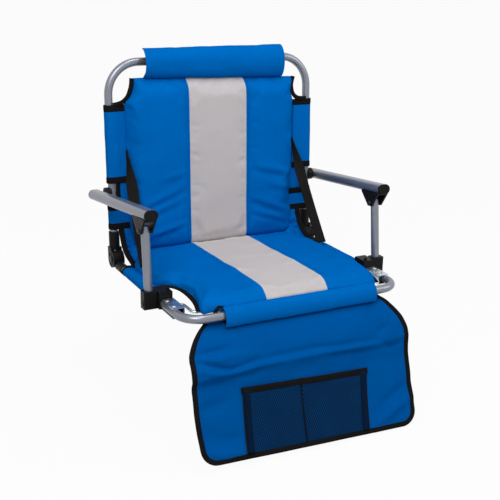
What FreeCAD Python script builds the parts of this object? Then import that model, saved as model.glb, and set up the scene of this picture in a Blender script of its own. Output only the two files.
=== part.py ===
import FreeCAD, Part
import math
import os
import Sketcher

# Folding stadium seat with arms, in millimetres. X runs across the seat, the seat faces -Y and Z is up.
# The origin lies on the bench plank, midway between the side tubes and under the fold axis.
# Right-hand pieces stand on the +X side, and each left-hand one is its mirror image.

Vector = FreeCAD.Vector
Rotation = FreeCAD.Rotation
Placement = FreeCAD.Placement

DIMENSIONS = {
    # bent tube frames
    "frame_width": 500.0,
    "tube_diameter": 18.0,
    "tube_wall": 1.2,
    "tube_inset": 26.0,
    "hinge_height": 22.0,
    "seat_tube_drop": 11.0,
    "seat_depth": 398.0,
    "seat_bend_radius": 45.0,
    "back_tube_setback": 10.0,
    "back_height": 438.0,
    "back_bend_radius": 70.0,
    "recline_angle": 2.5,
    # fold hinges
    "drum_diameter": 39.0,
    "tongue_width": 11.0,
    "tongue_relief": 0.5,
    "cheek_width": 7.2,
    "side_gap": 0.2,
    "socket_gap": 1.0,
    "socket_floor_lap": 6.0,
    "seat_socket_diameter": 22.0,
    "seat_socket_reach": 56.0,
    "back_socket_diameter": 24.0,
    "back_socket_reach": 62.0,
    "web_overhang": 2.0,
    "face_recess_diameter": 30.0,
    "face_recess_depth": 1.2,
    "tube_fit": 0.1,
    "running_clearance": 0.05,
    # pins, bolts and rivets
    "hinge_rivet_diameter": 8.0,
    "hinge_rivet_head": 15.0,
    "foot_bolt_diameter": 6.0,
    "foot_bolt_head": 11.0,
    "arm_bolt_diameter": 6.0,
    "arm_bolt_head": 12.0,
    "arm_nut_diameter": 8.0,
    "arm_nut_standoff": 4.0,
    "clevis_rivet_diameter": 5.0,
    "clevis_rivet_head": 9.0,
    "clevis_rivet_slack": 0.3,
    "bracket_rivet_diameter": 4.8,
    "bracket_rivet_head": 9.0,
    "bracket_rivet_tail": 2.5,
    "pin_head_height": 2.4,
    # arms, posts and their feet
    "arm_pivot_reach": 150.0,
    "arm_pivot_lift": 2.5,
    "arm_offset": 26.0,
    "arm_slope": 5.5,
    "arm_toe": 1.5,
    "rail_width": 30.0,
    "rail_height": 22.0,
    "rail_wall": 1.5,
    "rail_nose": 3.3,
    "rail_rear_reach": 20.0,
    "cap_thickness": 4.0,
    "cap_round": 1.5,
    "cap_rim": 3.0,
    "cap_dish": 1.0,
    "cap_plug_length": 8.0,
    "cap_plug_fit": 0.2,
    "boss_diameter": 28.0,
    "boss_gap": 0.8,
    "clevis_top_length": 64.0,
    "clevis_tip_length": 14.0,
    "clevis_tip_drop": 7.0,
    "clevis_width": 28.0,
    "clevis_slot": 20.0,
    "clevis_roof": 3.0,
    "clevis_horn": 4.0,
    "saddle_gap": 0.1,
    "post_overrun": 8.0,
    "post_lift": 6.0,
    "foot_width": 29.0,
    "foot_depth": 22.0,
    "foot_height": 37.5,
    "foot_round": 2.0,
    "clamp_length": 38.0,
    "clamp_inner_reach": 18.0,
    "clamp_height": 37.0,
    "clamp_round": 2.5,
    "clamp_gap": 0.3,
    "lug_length": 6.0,
    "lug_width": 5.0,
    "lug_height": 6.0,
    # bench hook and its brackets
    "bracket_setback": 5.0,
    "clamp_bracket_gap": 2.0,
    "bracket_length": 58.0,
    "bracket_sheet": 1.8,
    "bracket_inner_reach": 19.0,
    "bracket_flange_overlap": 7.0,
    "flange_gap": 0.1,
    "rivet_edge": 12.0,
    "slot_width": 4.0,
    "slot_length": 12.0,
    "hook_rod_diameter": 7.0,
    "hook_pivot_setback": 10.0,
    "hook_pivot_drop": 13.0,
    "hook_arm_length": 52.0,
    "hook_arm_inset": 16.0,
    "hook_stub": 5.0,
    "hook_bend_radius": 11.0,
    # fabric
    "sleeve_gap": 0.15,
    "sleeve_cloth": 1.35,
    "upper_sleeve_gap": 23.0,
    "upper_sleeve_drop": 16.0,
    "lower_sleeve_gap": 28.0,
    "lower_sleeve_lift": 5.0,
    "sleeve_flange": 2.0,
    "seat_sleeve_gap": 8.0,
    "roll_half_length": 176.0,
    "roll_height": 62.0,
    "roll_depth": 44.0,
    "roll_forward": 11.0,
    "roll_drop": 2.0,
    "roll_round": 6.0,
    "front_roll_depth": 30.0,
    "front_roll_height": 38.0,
    "front_roll_drop": 5.0,
    "front_roll_left": 172.0,
    "front_roll_right": 190.0,
    "pad_edge_round": 7.0,
    "pad_gap": 0.4,
    "seat_pad_tail": 26.0,
    "seat_pad_thickness": 19.6,
    "seat_pad_edge_drop": 6.0,
    "seat_pad_base": 5.0,
    "seat_pad_lip": 4.0,
    "seat_pad_lip_gap": 0.8,
    "seat_pad_side_gap": 16.0,
    "seat_pad_hinge_inset": 36.0,
    "seat_pad_waist_inset": 51.0,
    "seat_pad_front_inset": 48.0,
    "back_pad_thickness": 16.0,
    "back_pad_rear": 7.0,
    "back_pad_edge_drop": 6.0,
    "back_pad_belly": 36.0,
    "back_pad_foot": 11.0,
    "back_pad_foot_setback": 15.0,
    "back_pad_foot_inset": 47.0,
    "back_pad_side_inset": 29.0,
    "back_pad_top_inset": 47.0,
    "strap_width": 25.0,
    "strap_thickness": 1.5,
    "strap_back_reach": 237.0,
    "strap_seat_reach": 118.0,
    "strap_seat_height": 9.0,
    "strap_inset": 15.5,
    # apron
    "apron_tilt": 16.0,
    "apron_setback": 4.0,
    "apron_cloth": 1.6,
    "apron_top_half": 216.0,
    "apron_half_width": 250.0,
    "apron_shoulder": 68.0,
    "apron_length": 301.0,
    "apron_corner_radius": 36.0,
    "apron_fold_reach": 104.0,
    "apron_belly": 16.0,
    "apron_hem_out": 14.0,
    "binding_width": 11.0,
    "binding_thickness": 3.0,
    "pocket_half_width": 148.0,
    "pocket_reach": 155.0,
    "pocket_cloth": 1.2,
    "pocket_gap": 0.3,
    "pocket_trim_height": 12.0,
    "pocket_trim_thickness": 2.0,
    "pocket_divider_gap": 3.0,
}

# Places along the seat tube follow from each other, back from the front bend: bracket, clamp, then sleeve.
# The rail ends just past its clevis, and the post is as long as the hinge is from the arm's pivot.
# The back sleeves leave room for the arm's pivot, the hinge socket and the bend above.
FOLLOWING = {
    "bracket_start": "=seat_depth - seat_bend_radius - bracket_setback - bracket_length",
    "foot_pivot_reach": "=bracket_start - clamp_bracket_gap - clamp_length / 2",
    "post_along_rail": "=foot_pivot_reach * cos(arm_slope) - seat_tube_drop * sin(arm_slope)",
    "post_below_arm": "=foot_pivot_reach * sin(arm_slope) + seat_tube_drop * cos(arm_slope)",
    "rail_front_reach": "=post_along_rail + clevis_top_length / 2 + rail_nose",
    "upper_sleeve_start": "=arm_pivot_reach + upper_sleeve_gap",
    "upper_sleeve_end": "=back_height - back_bend_radius - upper_sleeve_drop",
    "lower_sleeve_start": "=back_socket_reach + lower_sleeve_lift",
    "lower_sleeve_end": "=arm_pivot_reach - lower_sleeve_gap",
    "post_length": "=sqrt(arm_pivot_reach * arm_pivot_reach + back_tube_setback * back_tube_setback)",
}

doc = FreeCAD.newDocument("folding_stadium_seat")
sheet = doc.addObject("Spreadsheet::Sheet", "Dims")
for row, (alias, content) in enumerate([*DIMENSIONS.items(), *FOLLOWING.items()], 1):
    sheet.set("A%d" % row, alias)
    sheet.set("B%d" % row, str(content))
    sheet.setAlias("B%d" % row, alias)
doc.recompute()

SUBPARTS = []


def value(expression):
    """The number that an expression of the sheet's cells gives."""
    return float(sheet.evalExpression(str(expression)))


def size(alias):
    return value("Dims." + alias)


def bind(item, name, expression):
    item.setExpression(name, expression)


def add(kind, name):
    item = doc.addObject(kind, name)
    item.Label = name
    return item


def keep(item, label, placement=None):
    """Names a finished sub-part and puts it in its place."""
    item.Label = label
    if placement is not None:
        item.Placement = placement
    SUBPARTS.append(item)
    return item


def mirror_left(right, label):
    """The left-hand piece: the mirror image of the right-hand one in the plane x = 0."""
    left = add("Part::Mirroring", label)
    left.Source = right
    left.Normal = Vector(1, 0, 0)
    return keep(left, label)


def pair(right, label, placement):
    keep(right, label + "_right", placement)
    doc.recompute()
    return mirror_left(right, label + "_left")


# Primitives whose sizes and corners are expressions of the sheet


def seat_at(item, corner):
    for axis, expression in zip("xyz", corner):
        bind(item, "Placement.Base." + axis, expression)
    return item


AXIS_TURN = {
    "x": Rotation(Vector(0, 1, 0), 90),
    "y": Rotation(Vector(1, 0, 0), -90),
    "z": Rotation(),
}


def cylinder(name, diameter, length, start, axis):
    item = add("Part::Cylinder", name)
    bind(item, "Radius", "(%s) / 2" % diameter)
    bind(item, "Height", length)
    item.Placement = Placement(Vector(), AXIS_TURN[axis])
    return seat_at(item, start)


def block(name, lengths, corner):
    item = add("Part::Box", name)
    for side, expression in zip(("Length", "Width", "Height"), lengths):
        bind(item, side, expression)
    return seat_at(item, corner)


def fuse(name, items):
    item = add("Part::MultiFuse", name)
    item.Shapes = items
    item.Refine = True
    return item


def cut(name, base, tools):
    item = add("Part::Cut", name)
    item.Base = base
    item.Tool = tools[0] if len(tools) == 1 else fuse(name + "_tools", tools)
    item.Refine = True
    return item


# Sketches whose points are pinned by expressions of the sheet


def new_body(name):
    return add("PartDesign::Body", name)


def sketch_on(body, role, name, offset="0"):
    sketch = body.newObject("Sketcher::SketchObject", body.Name + "_" + name)
    plane = next(item for item in body.Origin.OriginFeatures if item.Role == role)
    sketch.AttachmentSupport = [(plane, "")]
    sketch.MapMode = "FlatFace"
    if offset != "0":
        bind(sketch, "AttachmentOffset.Base.z", offset)
    return sketch


def rule(sketch, expression, kind, *where):
    number = sketch.addConstraint(Sketcher.Constraint(kind, *where, value(expression)))
    bind(sketch, "Constraints[%d]" % number, expression)


def pin(sketch, geometry, point, across, along):
    """Ties a point to the sketch's origin by its two coordinates."""
    for kind, axis, expression in (("DistanceX", -2, across), ("DistanceY", -1, along)):
        if expression == "0":
            sketch.addConstraint(Sketcher.Constraint("PointOnObject", geometry, point, axis))
        else:
            rule(sketch, expression, kind, -1, 1, geometry, point)


def draw_outline(sketch, points):
    """A closed outline of straight sides through the given points."""
    spots = [Vector(value(across), value(along), 0) for across, along in points]
    first = sketch.GeometryCount
    count = len(points)
    for index in range(count):
        sketch.addGeometry(Part.LineSegment(spots[index], spots[(index + 1) % count]), False)
    for index, (across, along) in enumerate(points):
        following = first + (index + 1) % count
        sketch.addConstraint(Sketcher.Constraint("Coincident", first + index, 2, following, 1))
        pin(sketch, first + index, 1, across, along)


def draw_circle(sketch, across, along, diameter):
    centre = Vector(value(across), value(along), 0)
    circle = Part.Circle(centre, Vector(0, 0, 1), value(diameter) / 2)
    geometry = sketch.addGeometry(circle, False)
    pin(sketch, geometry, 3, across, along)
    rule(sketch, diameter, "Diameter", geometry)


def draw_slot(sketch, length, height, across="0", along="0"):
    """A flat oval with round ends, level, about a centre point."""
    radius = value(height) / 2
    half = value(length) / 2 - radius
    centre = Vector(value(across), value(along), 0)
    right = centre + Vector(half, 0, 0)
    left = centre - Vector(half, 0, 0)
    rise = Vector(0, radius, 0)
    up = Vector(0, 0, 1)
    first = sketch.GeometryCount
    sketch.addGeometry(
        [
            Part.LineSegment(left + rise, right + rise),
            Part.ArcOfCircle(Part.Circle(right, up, radius), -math.pi / 2, math.pi / 2),
            Part.LineSegment(right - rise, left - rise),
            Part.ArcOfCircle(Part.Circle(left, up, radius), math.pi / 2, 3 * math.pi / 2),
        ],
        False,
    )
    joins = ((0, 2, 1, 2), (1, 1, 2, 1), (2, 2, 3, 2), (3, 1, 0, 1))
    for one, one_end, other, other_end in joins:
        tangent = Sketcher.Constraint("Tangent", first + one, one_end, first + other, other_end)
        sketch.addConstraint(tangent)
    sketch.addConstraint(Sketcher.Constraint("Horizontal", first))
    half_run = "((%s) - (%s)) / 2" % (length, height)
    pin(sketch, first + 1, 3, "%s + %s" % (across, half_run), along)
    rule(sketch, "%s - %s" % (across, half_run), "DistanceX", -1, 1, first + 3, 3)
    rule(sketch, "(%s) / 2" % height, "Radius", first + 1)


def pad(body, sketch, length, name, reversed_way=False, both_ways=False):
    feature = body.newObject("PartDesign::Pad", body.Name + "_" + name)
    feature.Profile = sketch
    bind(feature, "Length", length)
    feature.Reversed = reversed_way
    feature.Midplane = both_ways
    doc.recompute()
    return feature


def pocket(body, sketch, name, reversed_way=False, both_ways=False, depth=None):
    """A cut that has to take something away."""
    before = body.Shape.Volume
    feature = body.newObject("PartDesign::Pocket", body.Name + "_" + name)
    feature.Profile = sketch
    if depth is None:
        feature.Type = "ThroughAll"
    else:
        bind(feature, "Length", depth)
    feature.Reversed = reversed_way
    feature.Midplane = both_ways
    doc.recompute()
    if body.Shape.Volume >= before:
        raise ValueError(feature.Name + " cuts nothing")
    return feature


def round_edges(body, feature, radius, chosen):
    """A fillet on the feature's edges that the test picks out."""
    edges = [
        "Edge%d" % number
        for number, edge in enumerate(feature.Shape.Edges, 1)
        if chosen(edge)
    ]
    fillet = body.newObject("PartDesign::Fillet", body.Name + "_round")
    fillet.Base = (feature, edges)
    bind(fillet, "Radius", radius)
    doc.recompute()
    return fillet


# Places that several pieces share

HALF = "Dims.frame_width / 2"
TUBE = "Dims.tube_diameter"
ARM_X = "(Dims.frame_width / 2 + Dims.arm_offset)"
SOCKET_START = "(Dims.drum_diameter / 2 + Dims.socket_gap)"
CHEEK_START = "(Dims.tongue_width / 2 + Dims.side_gap)"
CHEEK_END = "(Dims.tongue_width / 2 + Dims.side_gap + Dims.cheek_width)"

recline = math.radians(size("recline_angle"))
hinge_point = Vector(0, 0, size("hinge_height"))
seat_frame = Placement(hinge_point, Rotation())
forward_frame = Placement(hinge_point, Rotation(Vector(0, 0, 1), 180))
back_frame = Placement(hinge_point, Rotation(Vector(1, 0, 0), 90 - size("recline_angle")))

# The arm turns on the back tube, the post on the seat tube, and arm, post, back and seat
# are a parallelogram: the post is as long as the hinge is from the arm's pivot.
arm_pivot = back_frame.multVec(Vector(0, size("arm_pivot_reach"), -size("back_tube_setback")))
foot_pivot = Vector(0, -size("foot_pivot_reach"), size("hinge_height") - size("seat_tube_drop"))
post_reach = arm_pivot - hinge_point
post_pivot = foot_pivot + post_reach
arm_turn = Rotation(Vector(1, 0, 0), -size("arm_slope"))
arm_frame = Placement(arm_pivot, arm_turn)
post_turn = Rotation(Vector(0, 0, 1), post_reach)
front_bar = Vector(0, -size("seat_depth"), size("hinge_height") - size("seat_tube_drop"))
apron_frame = Placement(front_bar, Rotation(Vector(1, 0, 0), 90 - size("apron_tilt")))


# Seat and back frames: each is one tube bent into a U


def bent_tube(name, reach, bend):
    """A U of tube in its own XY plane, its two ends towards the hinges and its bar at the far end."""
    body = new_body(name)
    path = sketch_on(body, "XY_Plane", "path")
    half, start = value(HALF), size("tube_inset")
    end, radius = value(reach), value(bend)
    up = Vector(0, 0, 1)
    left_centre = Vector(-half + radius, end - radius, 0)
    right_centre = Vector(half - radius, end - radius, 0)
    path.addGeometry(
        [
            Part.LineSegment(Vector(-half, start, 0), Vector(-half, end - radius, 0)),
            Part.ArcOfCircle(Part.Circle(left_centre, up, radius), math.pi / 2, math.pi),
            Part.LineSegment(Vector(-half + radius, end, 0), Vector(half - radius, end, 0)),
            Part.ArcOfCircle(Part.Circle(right_centre, up, radius), 0, math.pi / 2),
            Part.LineSegment(Vector(half, end - radius, 0), Vector(half, start, 0)),
        ],
        False,
    )
    for one, one_end, other, other_end in ((0, 2, 1, 2), (1, 1, 2, 1), (2, 2, 3, 2), (3, 1, 4, 1)):
        path.addConstraint(Sketcher.Constraint("Tangent", one, one_end, other, other_end))
    path.addConstraint(Sketcher.Constraint("Vertical", 0))
    path.addConstraint(Sketcher.Constraint("Vertical", 4))
    path.addConstraint(Sketcher.Constraint("Horizontal", 2))
    path.addConstraint(Sketcher.Constraint("Equal", 1, 3))
    pin(path, 0, 1, "-" + HALF, "Dims.tube_inset")
    pin(path, 4, 2, HALF, "Dims.tube_inset")
    rule(path, reach, "DistanceY", -1, 1, 2, 1)
    rule(path, bend, "Radius", 1)
    ring = sketch_on(body, "XZ_Plane", "ring", "-Dims.tube_inset")
    draw_circle(ring, "-" + HALF, "0", TUBE)
    draw_circle(ring, "-" + HALF, "0", TUBE + " - 2 * Dims.tube_wall")
    doc.recompute()
    pipe = body.newObject("PartDesign::AdditivePipe", name + "_pipe")
    pipe.Profile = ring
    pipe.Spine = path
    doc.recompute()
    return body


def cross_hole(body, name, along, height, diameter):
    """A hole along X right through a body."""
    sketch = sketch_on(body, "YZ_Plane", name)
    draw_circle(sketch, along, height, diameter)
    return pocket(body, sketch, name + "_hole", both_ways=True)


RIVET_PLACES = (
    "(Dims.bracket_start + Dims.rivet_edge)",
    "(Dims.bracket_start + Dims.bracket_length - Dims.rivet_edge)",
)

seat_tube = bent_tube("seat_frame_tube", "Dims.seat_depth", "Dims.seat_bend_radius")
cross_hole(
    seat_tube, "foot_bolt", "Dims.foot_pivot_reach", "0",
    "Dims.foot_bolt_diameter + 2 * Dims.running_clearance",
)
rivet_sketch = sketch_on(seat_tube, "XY_Plane", "rivets")
for side in ("-", ""):
    for place in RIVET_PLACES:
        draw_circle(
            rivet_sketch, side + HALF, place,
            "Dims.bracket_rivet_diameter + 2 * Dims.running_clearance",
        )
pocket(seat_tube, rivet_sketch, "rivet_holes", reversed_way=True)
seat_tube_place = forward_frame.multiply(Placement(Vector(0, 0, -size("seat_tube_drop")), Rotation()))
keep(seat_tube, "seat_frame_tube", seat_tube_place)

back_tube = bent_tube("back_frame_tube", "Dims.back_height", "Dims.back_bend_radius")
cross_hole(
    back_tube, "arm_bolt", "Dims.arm_pivot_reach", "0",
    "Dims.arm_bolt_diameter + 2 * Dims.running_clearance",
)
back_tube_place = back_frame.multiply(Placement(Vector(0, 0, -size("back_tube_setback")), Rotation()))
keep(back_tube, "back_frame_tube", back_tube_place)


# Fold hinges: a tongue on the seat tube between two cheeks on the back tube


def seat_hinge_half():
    disc = "(Dims.drum_diameter - 2 * Dims.tongue_relief)"
    left_face = HALF + " - Dims.tongue_width / 2"
    tongue = cylinder("tongue", disc, "Dims.tongue_width", (left_face, "0", "0"), "x")
    floor = "(%s + Dims.socket_floor_lap)" % SOCKET_START
    web = block(
        "tongue_web",
        ("Dims.tongue_width", floor, disc + " / 2 - Dims.web_overhang"),
        (left_face, "-" + floor, "-%s / 2" % disc),
    )
    reach = "(Dims.seat_socket_reach - %s)" % SOCKET_START
    socket_corner = (HALF, "-Dims.seat_socket_reach", "-Dims.seat_tube_drop")
    socket = cylinder("seat_socket", "Dims.seat_socket_diameter", reach, socket_corner, "y")
    bore = cylinder(
        "seat_socket_bore", TUBE + " + 2 * Dims.tube_fit",
        "Dims.seat_socket_reach - Dims.tube_inset", socket_corner, "y",
    )
    rivet_bore = cylinder(
        "tongue_bore", "Dims.hinge_rivet_diameter + 2 * Dims.running_clearance",
        "Dims.tongue_width", (left_face, "0", "0"), "x",
    )
    body = fuse("seat_hinge_solid", [tongue, web, socket])
    return cut("seat_hinge_half", body, [bore, rivet_bore])


def back_hinge_half():
    starts = (HALF + " - " + CHEEK_END, HALF + " + " + CHEEK_START)
    solids = []
    tools = []
    floor = "(%s + Dims.socket_floor_lap)" % SOCKET_START
    for number, start in enumerate(starts):
        solids.append(
            cylinder(
                "cheek_%d" % number, "Dims.drum_diameter", "Dims.cheek_width", (start, "0", "0"), "x"
            )
        )
        solids.append(
            block(
                "cheek_web_%d" % number,
                ("Dims.cheek_width", floor, "Dims.drum_diameter / 2 + Dims.web_overhang"),
                (start, "0", "-Dims.drum_diameter / 2"),
            )
        )
    reach = "(Dims.back_socket_reach - %s)" % SOCKET_START
    socket_corner = (HALF, SOCKET_START, "-Dims.back_tube_setback")
    solids.append(cylinder("back_socket", "Dims.back_socket_diameter", reach, socket_corner, "y"))
    tools.append(
        cylinder(
            "back_socket_bore", TUBE + " + 2 * Dims.tube_fit",
            "Dims.back_socket_reach - Dims.tube_inset",
            (HALF, "Dims.tube_inset", "-Dims.back_tube_setback"), "y",
        )
    )
    tools.append(
        cylinder(
            "cheek_bore", "Dims.hinge_rivet_diameter + 2 * Dims.running_clearance",
            "2 * " + CHEEK_END, (starts[0], "0", "0"), "x",
        )
    )
    recess = cut(
        "face_recess",
        cylinder(
            "recess_disc", "Dims.face_recess_diameter", "Dims.face_recess_depth",
            ("%s + %s - Dims.face_recess_depth" % (HALF, CHEEK_END), "0", "0"), "x",
        ),
        [
            cylinder(
                "recess_hub", "(Dims.face_recess_diameter + Dims.hinge_rivet_head) / 2",
                "Dims.face_recess_depth",
                ("%s + %s - Dims.face_recess_depth" % (HALF, CHEEK_END), "0", "0"), "x",
            )
        ],
    )
    tools.append(recess)
    return cut("back_hinge_half", fuse("back_hinge_solid", solids), tools)


pair(seat_hinge_half(), "hinge_seat_half", seat_frame)
pair(back_hinge_half(), "hinge_back_half", back_frame)


# Pins: turned or headed pieces with a shank between two heads


def headed_pin(name, shank, length, head, tail):
    """A pin along X from 0 to its length, with a head below 0 and a tail head past the end."""
    body = new_body(name)
    profile = sketch_on(body, "XY_Plane", "profile")
    crown, shoulder = "0.6", "0.35"
    rise = "Dims.pin_head_height"
    end = "(%s)" % length
    draw_outline(
        profile,
        [
            ("-" + rise, "0"),
            ("-" + rise, "%s * (%s) / 2" % (crown, head)),
            ("-%s * %s" % (rise, shoulder), "(%s) / 2" % head),
            ("0", "(%s) / 2" % head),
            ("0", "(%s) / 2" % shank),
            (end, "(%s) / 2" % shank),
            (end, "(%s) / 2" % tail),
            ("%s + %s * %s" % (end, rise, shoulder), "(%s) / 2" % tail),
            ("%s + %s" % (end, rise), "%s * (%s) / 2" % (crown, tail)),
            ("%s + %s" % (end, rise), "0"),
        ],
    )
    turned = body.newObject("PartDesign::Revolution", name + "_turned")
    turned.Profile = profile
    turned.ReferenceAxis = (profile, ["H_Axis"])
    turned.Angle = 360
    doc.recompute()
    return body


def pin_pair(right, label, placement):
    """A right-hand pin and its mirror image, in one node."""
    right.Placement = placement
    doc.recompute()
    left = add("Part::Mirroring", label + "_left")
    left.Source = right
    left.Normal = Vector(1, 0, 0)
    group = add("Part::Compound", label)
    group.Links = [right, left]
    return keep(group, label)


def x_place(start, place):
    return Placement(Vector(value(start), place.y, place.z), Rotation())


HINGE_PIN_LENGTH = "2 * (%s + Dims.side_gap)" % CHEEK_END
pin_pair(
    headed_pin(
        "hinge_rivet", "Dims.hinge_rivet_diameter", HINGE_PIN_LENGTH,
        "Dims.hinge_rivet_head", "Dims.hinge_rivet_head",
    ),
    "hinge_rivets", x_place("%s - %s - Dims.side_gap" % (HALF, CHEEK_END), hinge_point),
)

CLAMP_INNER = "(%s - Dims.clamp_inner_reach)" % HALF
FOOT_OUTER = "(%s + Dims.foot_width / 2)" % ARM_X
FOOT_INNER = "(%s - Dims.foot_width / 2)" % ARM_X
pin_pair(
    headed_pin(
        "foot_bolt", "Dims.foot_bolt_diameter",
        "%s - %s + Dims.side_gap" % (FOOT_OUTER, CLAMP_INNER),
        "Dims.foot_bolt_head", "Dims.foot_bolt_head",
    ),
    "foot_bolts", x_place(CLAMP_INNER, foot_pivot),
)

# The arm rail leans in towards the front, so at its pivot it stands further out than at the post
RAIL_X = "(%s + Dims.foot_pivot_reach * tan(Dims.arm_toe))" % ARM_X
BOLT_SEAT = "(%s - Dims.tube_diameter / 2 - Dims.flange_gap)" % HALF
NUT_SEAT = "(%s - Dims.rail_width / 2 + Dims.rail_wall + Dims.arm_nut_standoff)" % RAIL_X
pin_pair(
    headed_pin(
        "arm_bolt", "Dims.arm_bolt_diameter", "%s - %s" % (NUT_SEAT, BOLT_SEAT),
        "Dims.arm_bolt_head", "Dims.arm_nut_diameter",
    ),
    "arm_pivot_bolts", x_place(BOLT_SEAT, arm_pivot),
)

for side in ("right", "left"):
    rivet = headed_pin(
        "clevis_rivet_" + side, "Dims.clevis_rivet_diameter", "Dims.clevis_width",
        "Dims.clevis_rivet_head", "Dims.clevis_rivet_head",
    )
    inner = value("%s - Dims.clevis_width / 2" % ARM_X)
    start = inner if side == "right" else -inner - size("clevis_width")
    keep(rivet, "clevis_rivet_" + side, Placement(Vector(start, post_pivot.y, post_pivot.z), Rotation()))


# Foot clamps: blocks round the seat tube that carry the post feet's pivot


def foot_clamp():
    body = new_body("foot_clamp")
    section = sketch_on(body, "XZ_Plane", "section", "Dims.foot_pivot_reach - Dims.clamp_length / 2")
    outer = "(%s - Dims.clamp_gap)" % FOOT_INNER
    base = "-Dims.hinge_height"
    top = "(Dims.clamp_height - Dims.hinge_height)"
    draw_outline(section, [(CLAMP_INNER, base), (outer, base), (outer, top), (CLAMP_INNER, top)])
    solid = pad(body, section, "Dims.clamp_length", "block")
    round_edges(
        body, solid, "Dims.clamp_round",
        lambda edge: edge.BoundBox.YLength > 1 and edge.BoundBox.ZMax > 0,
    )
    lug = sketch_on(body, "XZ_Plane", "lug", "Dims.foot_pivot_reach + Dims.clamp_length / 4")
    lug_start = CLAMP_INNER + " + Dims.clamp_round + Dims.lug_width / 2"
    lug_end = lug_start + " + Dims.lug_width"
    lug_top = top + " + Dims.lug_height"
    lug_base = top + " - Dims.clamp_round"
    draw_outline(
        lug, [(lug_start, lug_base), (lug_end, lug_base), (lug_end, lug_top), (lug_start, lug_top)]
    )
    pad(body, lug, "Dims.lug_length", "lug")
    bore = sketch_on(body, "XZ_Plane", "bore")
    draw_circle(bore, HALF, "-Dims.seat_tube_drop", TUBE + " + 2 * Dims.tube_fit")
    pocket(body, bore, "tube_bore", reversed_way=True)
    cross_hole(
        body, "bolt", "-Dims.foot_pivot_reach", "-Dims.seat_tube_drop",
        "Dims.foot_bolt_diameter + 2 * Dims.running_clearance",
    )
    return body


pair(foot_clamp(), "foot_clamp", seat_frame)


# Hook brackets: plated sheet channels over the seat tube


def hook_bracket():
    body = new_body("hook_bracket")
    sheet_thick = "Dims.bracket_sheet"
    upper = "(Dims.tube_diameter / 2 + Dims.flange_gap - Dims.seat_tube_drop)"
    lower = "(-Dims.tube_diameter / 2 - Dims.flange_gap - Dims.seat_tube_drop)"
    web = "(%s - Dims.bracket_inner_reach)" % HALF
    lip = "(%s + Dims.bracket_flange_overlap)" % HALF
    channel = sketch_on(body, "XZ_Plane", "channel", "Dims.bracket_start")
    draw_outline(
        channel,
        [
            (lip, upper),
            (lip, "%s + %s" % (upper, sheet_thick)),
            (web, "%s + %s" % (upper, sheet_thick)),
            (web, "%s - %s" % (lower, sheet_thick)),
            (lip, "%s - %s" % (lower, sheet_thick)),
            (lip, lower),
            ("%s + %s" % (web, sheet_thick), lower),
            ("%s + %s" % (web, sheet_thick), upper),
        ],
    )
    pad(body, channel, "Dims.bracket_length", "channel_pad")
    holes = sketch_on(body, "XY_Plane", "holes", "-Dims.seat_tube_drop")
    for place in RIVET_PLACES:
        draw_circle(
            holes, HALF, "-" + place, "Dims.bracket_rivet_diameter + 2 * Dims.running_clearance"
        )
    middle = "(%s + Dims.bracket_inner_reach / 3)" % web
    for place in RIVET_PLACES:
        draw_slot(holes, "Dims.slot_length / 2", "Dims.slot_width", middle, "-" + place)
    pocket(body, holes, "flange_holes", reversed_way=True)
    pivot = sketch_on(body, "YZ_Plane", "pivot", HALF)
    draw_circle(
        pivot, "-(Dims.bracket_start + Dims.hook_pivot_setback)", "-Dims.hook_pivot_drop",
        "Dims.hook_rod_diameter + 2 * Dims.running_clearance",
    )
    pocket(body, pivot, "pivot_hole")
    return body


pair(hook_bracket(), "hook_bracket", seat_frame)


def bracket_rivets():
    """Blind rivets through the brackets' upper flanges and the tube's upper wall."""
    body = new_body("bracket_rivet")
    profile = sketch_on(body, "XZ_Plane", "profile")
    grip = "(Dims.flange_gap + Dims.bracket_sheet + Dims.tube_wall + Dims.bracket_rivet_tail)"
    draw_outline(
        profile,
        [
            ("0", "Dims.pin_head_height * 0.7"),
            ("Dims.bracket_rivet_head * 0.3", "Dims.pin_head_height * 0.7"),
            ("Dims.bracket_rivet_head / 2", "Dims.pin_head_height * 0.25"),
            ("Dims.bracket_rivet_head / 2", "0"),
            ("Dims.bracket_rivet_diameter / 2", "0"),
            ("Dims.bracket_rivet_diameter / 2", "-" + grip),
            ("0", "-" + grip),
        ],
    )
    turned = body.newObject("PartDesign::Revolution", "bracket_rivet_turned")
    turned.Profile = profile
    turned.ReferenceAxis = (profile, ["V_Axis"])
    turned.Angle = 360
    doc.recompute()
    top = value("Dims.hinge_height - Dims.seat_tube_drop + Dims.tube_diameter / 2")
    top += size("flange_gap") + size("bracket_sheet")
    solids = []
    for side in (-1, 1):
        for place in RIVET_PLACES:
            solid = body.Shape.copy()
            solid.Placement = Placement(Vector(side * value(HALF), -value(place), top), Rotation())
            solids.append(solid)
    group = add("Part::Feature", "bracket_rivets")
    group.Shape = Part.makeCompound(solids)
    return keep(group, "bracket_rivets")


bracket_rivets()


def rounded_path(points, radius):
    """An open path through the points in one plane, each corner rounded by a tangent arc."""
    edges = []
    start = points[0]
    for before, corner, after in zip(points, points[1:], points[2:]):
        back_way = (before - corner).normalize()
        on_way = (after - corner).normalize()
        half_angle = back_way.getAngle(on_way) / 2
        trim = radius / math.tan(half_angle)
        bisector = (back_way + on_way).normalize()
        centre = corner + bisector * (radius / math.sin(half_angle))
        first = corner + back_way * trim
        last = corner + on_way * trim
        edges.append(Part.LineSegment(start, first).toShape())
        edges.append(Part.Arc(first, centre - bisector * radius, last).toShape())
        start = last
    edges.append(Part.LineSegment(start, points[-1]).toShape())
    return Part.Wire(edges)


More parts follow.
